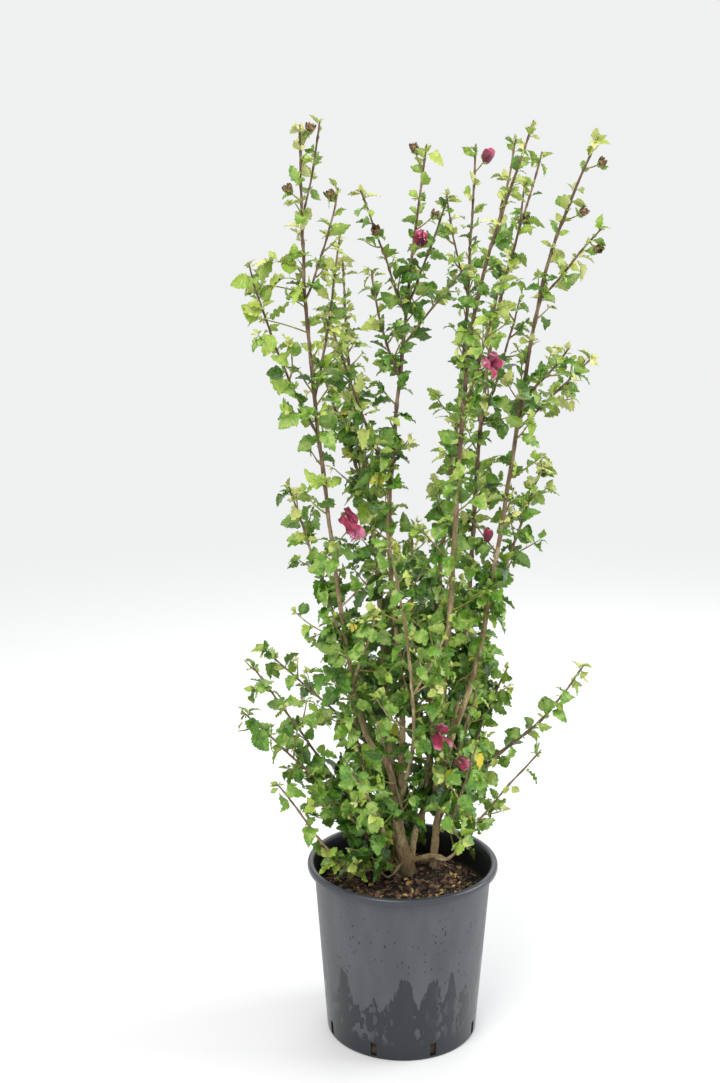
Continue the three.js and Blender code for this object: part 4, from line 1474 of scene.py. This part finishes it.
def openBloom(place, heading, roll, size, opening, width):
    # Petals that have begun to part, each as far as it likes.
    frameOf = standing(place - heading * 8, heading, roll.uniform(0, 6))
    for k in range(5):
        spread = roll.uniform(*opening)
        droop = roll.uniform(0.0, 0.7)
        reach = size * roll.uniform(0.8, 1.05)
        turn = Matrix.Rotation(2 * math.pi * (k + roll.uniform(-0.22, 0.22)) / 5, 4, "Z")

        def petal(s, t):
            side = (t - 0.5) * 2
            half = size * width * math.sin(math.pi * (0.10 + 0.78 * s)) ** 0.9
            bend = spread * s + droop * s * s
            ripple = 2.2 * s * s * math.sin(5.5 * side + k) + 3.0 * side * side * s
            along = reach * s
            return (
                2.5 + along * math.sin(bend) + ripple * math.cos(bend), side * half,
                along * math.cos(bend) - ripple * math.sin(bend) - 3.0 * (side * s) ** 2,
            )

        petals.sheet(petal, 10, 8, frameOf @ turn, dusk=1.5)
    sepalsAround(frameOf, bloomLook["sepal"], 6.0, 0.15)


def wiltedBloom(place, _, roll, length):
    # A limp bloom: crumpled petals that have dropped together along one slant.
    slant = Vector((0.62, -0.30, -0.72)).normalized()
    base = place + up * 16 + Vector((-11, 4, 2))
    for k in range(5):
        way = (slant + Vector([roll.gauss(0, 0.13) for _ in range(3)])).normalized()
        frameOf = standing(base + Vector([roll.gauss(0, 3) for _ in range(3)]), way, k * 1.26)
        phase, reach = roll.uniform(0, 6), length * roll.uniform(0.62, 1.0)

        def tongue(s, t):
            side = (t - 0.5) * 2
            torn = 1 + 0.22 * math.sin(13 * s + 2 * phase)
            half = 7.4 * math.sin(math.pi * (0.14 + 0.72 * s)) ** 0.7 * torn
            fold = 3.8 * math.sin(3.4 * side + 5 * s + phase) * (0.3 + s) + 3.0 * math.sin(11 * s + 3 * side)
            curl = 6 * math.sin(3.1 * s + phase)
            return (side * half * math.cos(fold * 0.12) + curl, 3 + fold, reach * s)

        petals.sheet(tongue, 16, 10, frameOf, dusk=0.6)
    sepalsAround(standing(base - slant * 2, slant), 12, 6)


def droopingBloom(place, _, roll):
    # Two limp petals that hang apart below the cup, and a third that is folded over it.
    for way, reach in (((0.55, -0.5, -0.55), 30), ((-0.20, -0.6, -0.8), 28), ((0.25, -0.6, 0.7), 26)):
        frameOf = standing(place + up * 16, Vector(way).normalized(), roll.uniform(0, 6))
        phase = roll.uniform(0, 6)

        def limp(s, t):
            side = (t - 0.5) * 2
            half = 0.42 * reach * math.sin(math.pi * (0.12 + 0.70 * s)) ** 0.8
            pleat = 1.8 * math.sin(4.2 * side + phase) * s + 1.4 * math.sin(5 * s + phase)
            return (side * half, pleat - 4 * side * side * s, reach * s)

        petals.sheet(limp, 10, 8, frameOf, dusk=0.6)
    sepalsAround(standing(place + up * 18, Vector((0.5, -0.4, -0.6)).normalized()), 10, 5.5)


bloomRoll = random.Random(5)
bloomKinds = {  # by place: the way of making, where it looks if not along its stalk, and its sizes
    (-84, -84, 868): (wiltedBloom, None, 52),
    (120, -112, 1116): (openBloom, (0.80, -0.45, 0.35), 27, (0.1, 0.6), 0.37),
    (22, 8, 1288): (openBloom, (0.2, -0.45, 0.85), 29, (-0.35, 0.1), 0.36),
    (52, -92, 528): (droopingBloom, None),
    (90, -76, 490): (furledBloom, (0.7, -0.25, -0.55), 22, 10.0, 0.16),
}
bloomKinds |= {place: (furledBloom, None, 21, 7.5) for place in hiddenBlooms}
for place, heading in shrub.blooms:
    heading = (heading.lerp(up, 0.35) + Vector((0, 0.45 * (heading.y < 0), 0.3))).normalized()
    spot = tuple(round(c) for c in place)
    if spot in bloomKinds:
        bloom, way, *sizes = bloomKinds[spot]
        bloom(place, Vector(way).normalized() if way else heading, bloomRoll, *sizes)
    else:
        girth = bloomLook["girth"] * bloomRoll.uniform(0.9, 1.1)
        furledBloom(place, heading, bloomRoll, bloomLook["furled"] * bloomRoll.uniform(0.85, 1.05), girth)

petalTones = {"throat": (92, 14, 38), "petal": (164, 36, 78), "edge": (212, 128, 158), "dry": (108, 22, 54)}


def petalMaterial():
    made, hand, shader = material("mauvePetal")
    along = hand.add("ShaderNodeAttribute", attribute_name="along").outputs["Fac"]
    blotch, grain = blotches(hand, 0.009, 0.0012)
    tone = hand.mix(hand.step(along, 0.02, 0.45), linear(petalTones["throat"]), linear(petalTones["petal"]))
    tone = hand.mix(hand.step(blotch, 0.46, 0.62), tone, linear(petalTones["dry"]))
    tone = hand.mix(hand.step(along, 0.80, 1.0), tone, linear(petalTones["edge"]))
    shader.inputs["Sheen Weight"].default_value = 0.25
    surfaced(hand, shader, tone, 0.6, (grain, 0.4, 0.0008))
    return made


piece(petals.piece("petals", petalMaterial()), "foliage", *massNodes)

# Seed pods and buds.
podLook = {"length": 15.0, "girth": 6.2, "valves": 5}
pods = Gathered()


def seedPod(place, heading, roll):
    # Five pointed valves that have sprung open, round a short core.
    size = podLook["length"] * roll.uniform(0.85, 1.15)
    girth = podLook["girth"] * roll.uniform(0.9, 1.1)
    frameOf = standing(place - heading * size * 0.4, heading, roll.uniform(0, 6))
    for k in range(podLook["valves"]):
        opening = roll.uniform(0.15, 0.42)
        turn = Matrix.Rotation(2 * math.pi * (k + roll.uniform(-0.1, 0.1)) / podLook["valves"], 4, "Z")

        def valve(s, t):
            side = (t - 0.5) * 2
            half = girth * 0.72 * math.sin(math.pi * (0.10 + 0.88 * s)) ** 0.7
            bulge = girth * math.sin(math.pi * (0.16 + 0.66 * s)) * (1 - 0.32 * side * side)
            return (bulge + opening * size * s * s, side * half, size * s)

        def lining(s, t):
            x, y, z = valve(s, 1 - t)
            return (x - 0.9, y * 0.9, z + 0.2)

        pods.sheet(valve, 8, 6, frameOf @ turn)
        pods.sheet(lining, 8, 6, frameOf @ turn)
    sepalsAround(frameOf, 6, girth * 0.95, 0.5)


podRoll = random.Random(9)
for place, heading in shrub.fruit:
    seedPod(place, heading.lerp(up, 0.3).normalized(), podRoll)


dryPod = speckledMaterial(
    "dryPod", ((64, 45, 31), (158, 128, 88)), (0.004, 0.0008), (0.38, 0.66), 0.75, 0.5, 0.0005,
    ((0.55, 0.8), (48, 34, 26)),
)
greenSepal = speckledMaterial(
    "greenSepal", ((108, 136, 62), (150, 166, 92)), (0.008, 0.0012), (0.4, 0.65), 0.6, 0.3, 0.0005,
)
piece(pods.piece("seed_pods", dryPod), "foliage", *massNodes)
piece(sepals.piece("sepals", greenSepal), "foliage", *massNodes)


def budMesh(name, tip, roll):
    # A small scaly bud, pointed by tip.
    rings, sides = 7, 8
    profile = []
    for i in range(rings + 1):
        share = i / rings
        radius = 0.42 * math.sin(math.pi * min(share * 0.9 + 0.06, 1)) ** tip
        profile.append((0 if i in (0, rings) else radius, share * 1.5 - 0.15))
    mesh = turnedMesh(name, profile, sides)
    for vertex in mesh.vertices:
        angle = math.atan2(vertex.co.y, vertex.co.x)
        scale = 1 + 0.16 * math.sin(3 * angle + 5 * vertex.co.z) + roll.gauss(0, 0.03)
        vertex.co.x *= scale
        vertex.co.y *= scale
    smoothed(mesh)
    return mesh


budRoll = random.Random(12)
budTips = (0.7, 1.0, 1.4)
budShapes = shapeCollection("budShape", [budMesh(f"bud{i}", tip, budRoll) for i, tip in enumerate(budTips)])
budItems = []
for place, heading, size in shrub.buds:
    axis = heading.to_track_quat("Z", "Y").to_euler()
    if insideReach(place + heading * size * 1.4, 0.2):
        budItems.append((place, axis, size, budRoll.randrange(len(budTips))))
piece(spray("buds", budItems, budShapes, bark["youngBark"], 3, 0.3), "foliage", *massNodes)
print("blooms", len(shrub.blooms), "pods", len(shrub.fruit), "buds", len(budItems))

# Container.
pot = {
    "height": 293, "footRadius": 124, "shoulderRadius": 145, "rimRadius": 156, "rimDepth": 12,
    "wall": 2.6, "floor": 4, "sides": 192,
    "slots": 8, "slotWidth": 10, "slotBottom": 4.5, "slotTop": 27, "slotDepth": 12,
}
boxFaces = (0, 1, 3, 2), (4, 6, 7, 5), (0, 4, 5, 1), (2, 3, 7, 6), (0, 2, 6, 4), (1, 5, 7, 3)


def wallRadius(z):
    return lerp(pot["footRadius"], pot["shoulderRadius"], z / (pot["height"] - pot["rimDepth"]))


def containerMesh():
    top, rim, wall, floor = pot["height"], pot["rimRadius"], pot["wall"], pot["floor"]
    shoulder = top - pot["rimDepth"]
    profile = [(0, 0), (60, 0), (wallRadius(0) - 2, 0), (wallRadius(0) - 0.7, 0.5), (wallRadius(2), 2)]
    profile += [(wallRadius(z), z) for z in (4.5, 27)]
    profile += [(wallRadius(z), z) for z in range(45, 270, 18)]
    profile += [
        (wallRadius(shoulder - 5), shoulder - 5), (wallRadius(shoulder) + 0.6, shoulder - 1.2),
        (wallRadius(shoulder) + 2.5, shoulder - 0.2), (rim - 5, shoulder), (rim - 2.2, shoulder + 0.5),
        (rim - 0.6, shoulder + 1.8), (rim, shoulder + 3.6), (rim, top - 4.4), (rim - 0.7, top - 2.2),
        (rim - 2.4, top - 0.6), (rim - 4.8, top), (rim - 7.4, top), (rim - 9.2, top - 0.8),
        (rim - 10.6, top - 2.6), (rim - 11.6, top - 5.5), (wallRadius(shoulder) - wall - 0.2, shoulder),
    ]
    profile += [(wallRadius(z) - wall, z) for z in range(262, 10, -18)]
    profile += [(wallRadius(floor) - wall, floor + 1.5), (wallRadius(floor) - wall - 2, floor), (0, floor)]
    mesh = turnedMesh("container", [(r * mm, z * mm) for r, z in profile], pot["sides"])
    obj = linked("container", mesh)
    corners, faces = [], []
    for i in range(pot["slots"]):
        angle = (i + 0.5) / pot["slots"] * 2 * math.pi
        way = Vector((math.cos(angle), math.sin(angle), 0))
        side = Vector((-way.y, way.x, 0))
        faces += [[len(corners) + c for c in face] for face in boxFaces]
        for out in (wallRadius(0) - pot["slotDepth"], wallRadius(0) + pot["slotDepth"]):
            for across in (-pot["slotWidth"] / 2, pot["slotWidth"] / 2):
                for z in (pot["slotBottom"], pot["slotTop"]):
                    corners.append((way * out + side * across + up * z) * mm)
    cutter = linked("slotCutter", meshFrom("slotCutter", corners, faces))
    cut = obj.modifiers.new("slots", "BOOLEAN")
    cut.operation = "DIFFERENCE"
    cut.solver = "EXACT"
    cut.object = cutter
    made = plainMesh(obj, "container")
    bpy.data.objects.remove(cutter)
    smoothed(made, 32)
    return made


plasticLook = {  # sRGB tones; inside is painted shade, far darker than the same plastic outside
    "dry": (68, 71, 75), "light": (80, 83, 87), "wet": (31, 36, 42), "inside": (32, 33, 35),
    "dust": (106, 108, 108), "rim": (50, 54, 60), "drip": (30, 31, 35),
}
waterLevels = {"Low": 0.094, "High": 0.054, "Column width": 0.026}  # metres
wetColumns = [  # angle in degrees, half width in radians, share of the full height; the front's own
    (-136, 0.12, 1.0), (-112, 0.07, 0.35), (-99, 0.06, 0.6), (-89.5, 0.150, 0.95), (-70.5, 0.135, 0.9),
    (-55, 0.10, 0.95), (-41, 0.08, 0.5),
]


def wetGroup():
    # Where water has run down: columns with torn tops, dry islands between them and scattered drips.
    inputs = [("Low", "float", 0.085), ("High", "float", 0.062), ("Column width", "float", 0.03)]
    hand, given, out = group("waterRuns", "ShaderNodeTree", inputs, [("Wet", "float"), ("Drips", "float")])
    place = hand.place()
    x, y, height = hand.split(place)
    turned = hand.math("ARCTAN2", y, x)

    def ripple(stretch, size, detail, shift):
        flat = hand.vectors("MULTIPLY", place, hand.combined(1.0, 1.0, stretch))
        return hand.ripple(hand.vectors("ADD", flat, (0, 0, shift)), hand.math("DIVIDE", 1.0, size), detail)

    def torn(stretch, size, shift, share):
        return hand.times(hand.less(ripple(stretch, size, 4.0, shift), 0.5), share)

    others = hand.step(ripple(0.0, given["Column width"], 1.0, 0.37), 0.50, 0.60)
    others = hand.times(others, hand.plus(0.25, hand.times(ripple(0.0, 0.055, 1.0, 5.1), 1.3)))
    fromFront = hand.magnitude(hand.plus(turned, math.pi / 2))
    column = hand.times(others, hand.step(fromFront, 1.0, 1.2))
    swayed = hand.plus(turned, torn(0.35, 0.010, 7.0, 0.11))
    for angle, half, tall in wetColumns:
        apart = hand.magnitude(hand.less(swayed, math.radians(angle)))
        one = hand.step(hand.less(half, apart), -0.04, 0.10)
        column = hand.math("MAXIMUM", column, hand.times(one, tall))
    top = hand.plus(given["Low"], hand.times(column, given["High"]))
    top = hand.plus(top, torn(0.25, 0.008, 4.0, 0.045))
    soaked = hand.step(hand.less(top, height), 0.0, 0.003)
    island = hand.step(ripple(0.55, 0.011, 3.0, 9.0), 0.53, 0.55)
    island = hand.times(island, hand.less(1.0, column, clamp=True))
    island = hand.times(island, hand.step(height, 0.024, 0.040))
    hand.tree.links.new(hand.less(soaked, island, clamp=True), out["Wet"])
    slim = hand.combined(hand.times(turned, 0.135), hand.times(height, 0.6), 0.0)
    cells = hand.add("ShaderNodeTexVoronoi", {"Vector": slim, "Scale": 190.0, "Randomness": 1.0}).outputs
    chosen = hand.add("ShaderNodeSeparateColor", {0: cells["Color"]}).outputs[0]
    size = hand.times(hand.step(chosen, 0.30, 1.0), 0.36)
    drop = hand.step(hand.less(size, cells["Distance"]), 0.0, 0.05)
    patch = hand.step(ripple(1.4, 0.040, 1.5, 2.0), 0.47, 0.53)
    band = hand.times(hand.step(height, 0.09, 0.14), hand.step(hand.less(0.29, height), 0, 0.05))
    hand.tree.links.new(hand.times(drop, hand.times(patch, band)), out["Drips"])
    return hand.tree


def plasticMaterial():
    # Grey with dust outside, darker at the rim, wet and dripped on, and black inside where shade is painted.
    made, hand, shader = material("nurseryPlastic")
    blotch, grain = blotches(hand, 0.05, 0.0011, 0.35)
    place = hand.place()
    height = hand.split(place)[2]
    flat = hand.vectors("MULTIPLY", place, (1, 1, 0))
    radius = hand.add("ShaderNodeVectorMath", {0: flat}, operation="LENGTH").outputs["Value"]
    wall = hand.plus(0.1228, hand.times(height, 0.0747))
    rim = hand.step(height, 0.280, 0.2815)
    outside = hand.math("MAXIMUM", hand.step(hand.less(radius, wall), -0.0004, 0.0004), rim)
    water = hand.add("ShaderNodeGroup", waterLevels, node_tree=wetGroup()).outputs
    wet, drips = hand.times(water["Wet"], outside), hand.times(water["Drips"], outside)
    tone = hand.mix(hand.step(blotch, 0.38, 0.7), linear(plasticLook["dry"]), linear(plasticLook["light"]))
    # The inside of the wall gets painted shade: far darker than the same plastic outside.
    for share, look in (
        (hand.times(hand.step(grain, 0.5, 0.8), 0.25), "dust"), (hand.times(rim, 0.85), "rim"),
        (hand.times(wet, 0.95), "wet"), (hand.times(drips, 0.9), "drip"), (hand.less(1.0, outside), "inside"),
    ):
        tone = hand.mix(share, tone, linear(plasticLook[look]))
    gloss = hand.math("MAXIMUM", wet, hand.times(rim, 0.9))
    rough = hand.plus(hand.less(0.42, hand.times(gloss, 0.18)), hand.times(blotch, 0.06))
    surfaced(hand, shader, tone, rough, (grain, 0.10, 0.0004), 0.5)
    return made


piece(linked("pot_wall", containerMesh(), plasticMaterial()), "container", "container")
print("the container is made")

# Soil and what lies on it.
ground = {
    "level": 250, "edge": 243, "rings": 46, "sides": 200, "bottom": 4.4, "gap": 0.4,
    "lumps": ((26, 5.5), (9, 3.0), (3.6, 1.5)),  # size and height
    "heaps": (((28, 20), 11, 52), ((60, 32), 13, 34)),  # middle, height and width round the stocks
}


def innerRadius(z):
    return wallRadius(z) - pot["wall"] - ground["gap"]


def soilMesh():
    bottom, edge = ground["bottom"], innerRadius(ground["edge"])
    profile = [(0, bottom), (60, bottom), (innerRadius(bottom) - 1, bottom)]
    profile += [(innerRadius(z), z) for z in (6, 12, 18, 24, 30, 60, 120, 180, 225, 240)]
    for i in range(ground["rings"] + 1):
        share = 1 - i / ground["rings"]
        fallen = min(max(share - 0.3, 0) / 0.7, 1)
        profile.append((edge * share, lerp(ground["level"], ground["edge"], fallen)))
    mesh = turnedMesh("soil", profile, ground["sides"])
    for vertex in mesh.vertices:
        place = Vector(vertex.co)
        distance = math.hypot(place.x, place.y)
        if place.z > ground["edge"] - 0.5:
            lumps = sum(noise.noise(place / size) * tall for size, tall in ground["lumps"])
            flank = min(max((edge - distance) / 14, 0.25), 1)
            heap = 0
            for middle, tall, width in ground["heaps"]:
                heap += tall * math.exp(-(((place.xy - Vector(middle)).length / width) ** 2))
            place.z += (lumps - 1.0) * flank + heap
        elif distance > 100 and place.z < 40:  # what shows through the slots
            way = Vector((place.x, place.y, 0)).normalized()
            place -= way * (0.6 + 1.2 * noise.noise(place / 3))
        vertex.co = place * mm
    smoothed(mesh, 60)
    return mesh


def chipMesh(name, length, width, thick, bend, roll):
    # An angular flake, torn at its ends and a little bent.
    vertices, faces = [], []
    rows = 4
    for i in range(rows + 1):
        share = i / rows
        half = width * (0.5 + 0.35 * math.sin(math.pi * share)) * roll.uniform(0.75, 1.15)
        lift = bend * math.sin(math.pi * share)
        right = thick * roll.uniform(0.6, 1.3)
        for y, z in ((-half, 0), (-half * 0.9, thick), (half * 0.9, right), (half, 0)):
            vertices.append(((share - 0.5) * length, y * 0.5, z + lift))
    for i in range(rows):
        for j in range(4):
            a, b = i * 4 + j, i * 4 + (j + 1) % 4
            faces.append((a, b, b + 4, a + 4))
    faces += [(0, 3, 2, 1), (rows * 4, rows * 4 + 1, rows * 4 + 2, rows * 4 + 3)]
    return meshFrom(name, vertices, faces)


def litterPiece(name, soilTop, sizes, density, least, largest, tilt, seed, finish):
    roll = random.Random(seed)
    bits = []
    for i in range(bitKinds):
        bits.append(chipMesh(f"{name}{i}", *(s * roll.uniform(0.7, 1.3) for s in sizes), roll))
        smoothed(bits[i], 40)
    obj = linked(name + "Ground", soilTop.copy())
    values = {
        "Bits": shapeCollection(name + "Bit", bits), "Density": density, "Least size": least,
        "Largest size": largest, "Tilt": tilt, "Seed": seed, "Finish": finish,
    }
    made = linked(name, modified(obj, litter, values, name))
    piece(made, "soil", "soil")
    print(name, "has", len(made.data.polygons), "faces")


def groundForLitter(mesh):
    # The top of the soil without its margin, so no bit reaches into the wall.
    kept = [p for p in mesh.polygons if p.center.z > 0.238 and p.center.xy.length < 0.131]
    used = sorted({v for p in kept for v in p.vertices})
    order = {v: i for i, v in enumerate(used)}
    vertices = [mesh.vertices[v].co for v in used]
    return meshFrom("litterGround", vertices, [[order[v] for v in p.vertices] for p in kept])


soil = soilMesh()
topOnly = groundForLitter(soil)
pottingMix = speckledMaterial(
    "pottingMix", ((30, 25, 21), (74, 58, 46)), (0.009, 0.0016), (0.36, 0.7), 0.92, 0.9, 0.002,
    ((0.58, 0.74), (114, 92, 70)),
)
piece(linked("potting_mix", soil, pottingMix), "soil", "soil")
litterLook = [  # name, a bit's length, width, thickness and bend in metres, density, sizes, tilt, seed, tones
    ("bark_chips", (0.012, 0.007, 0.0018, 0.001), 9500, 0.5, 1.35, 0.6, 3, ((56, 41, 31), (126, 94, 68))),
    ("peat_crumbs", (0.0042, 0.0036, 0.0024, 0.0003), 42000, 0.4, 1.3, 0.9, 4, ((22, 17, 14), (54, 40, 30))),
    (
        "fallen_leaf_bits", (0.0105, 0.0075, 0.0004, 0.0026), 1500, 0.5, 1.3, 0.7, 5,
        ((170, 132, 72), (210, 182, 118)),
    ),
    ("moss_bits", (0.007, 0.0022, 0.0010, 0.0016), 2200, 0.5, 1.3, 0.8, 6, ((86, 96, 40), (128, 134, 64))),
    ("straw_bits", (0.014, 0.002, 0.0008, 0.0012), 1800, 0.4, 1.3, 0.4, 8, ((150, 118, 78), (190, 160, 116))),
]
for name, sizes, density, least, largest, tilt, seed, tones in litterLook:
    finish = speckledMaterial(name, tones, (0.01, 0.01 / 6), (0.36, 0.66), 0.8, 0.4, 0.0008)
    litterPiece(name, topOnly, sizes, density, least, largest, tilt, seed, finish)


# Floor.
floorLook = {"reach": 40.0, "drop": -0.0004, "fade": (1.4, 4.2), "tones": ((226, 227, 228), (232, 232, 232))}
black = (0, 0, 0, 1)


def floorPiece():
    # Far from the plant it glows like the sky, so no edge shows behind it.
    drop = floorLook["drop"]
    mesh = turnedMesh("floor", [(floorLook["reach"], drop), (0, drop)], 64)
    made, hand, shader = material("paleFloor")
    blotch, grain = blotches(hand, 0.8, 0.01)
    distance = hand.add("ShaderNodeVectorMath", {0: hand.place()}, operation="LENGTH").outputs["Value"]
    far = hand.step(distance, *floorLook["fade"])
    pale = hand.mix(blotch, *(linear(tone) for tone in floorLook["tones"]))
    hand.give(hand.mix(far, black, (*lights["skyTone"], 1)), shader.inputs["Emission Color"])
    shader.inputs["Emission Strength"].default_value = lights["sky"]
    surfaced(hand, shader, hand.mix(far, pale, black), 0.8, (grain, 0.02, 0.0004), 0.0)
    return linked("floor", mesh, made)


floorPiece()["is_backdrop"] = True

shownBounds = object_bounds()
boxes = {"cad": cadBounds, "visual": shownBounds}
{name: [list(corner) for corner in box] for name, box in boxes.items()}
print("cad box", [[round(c, 4) for c in corner] for corner in cadBounds])
print("shown box", [[round(c, 4) for c in corner] for corner in shownBounds])
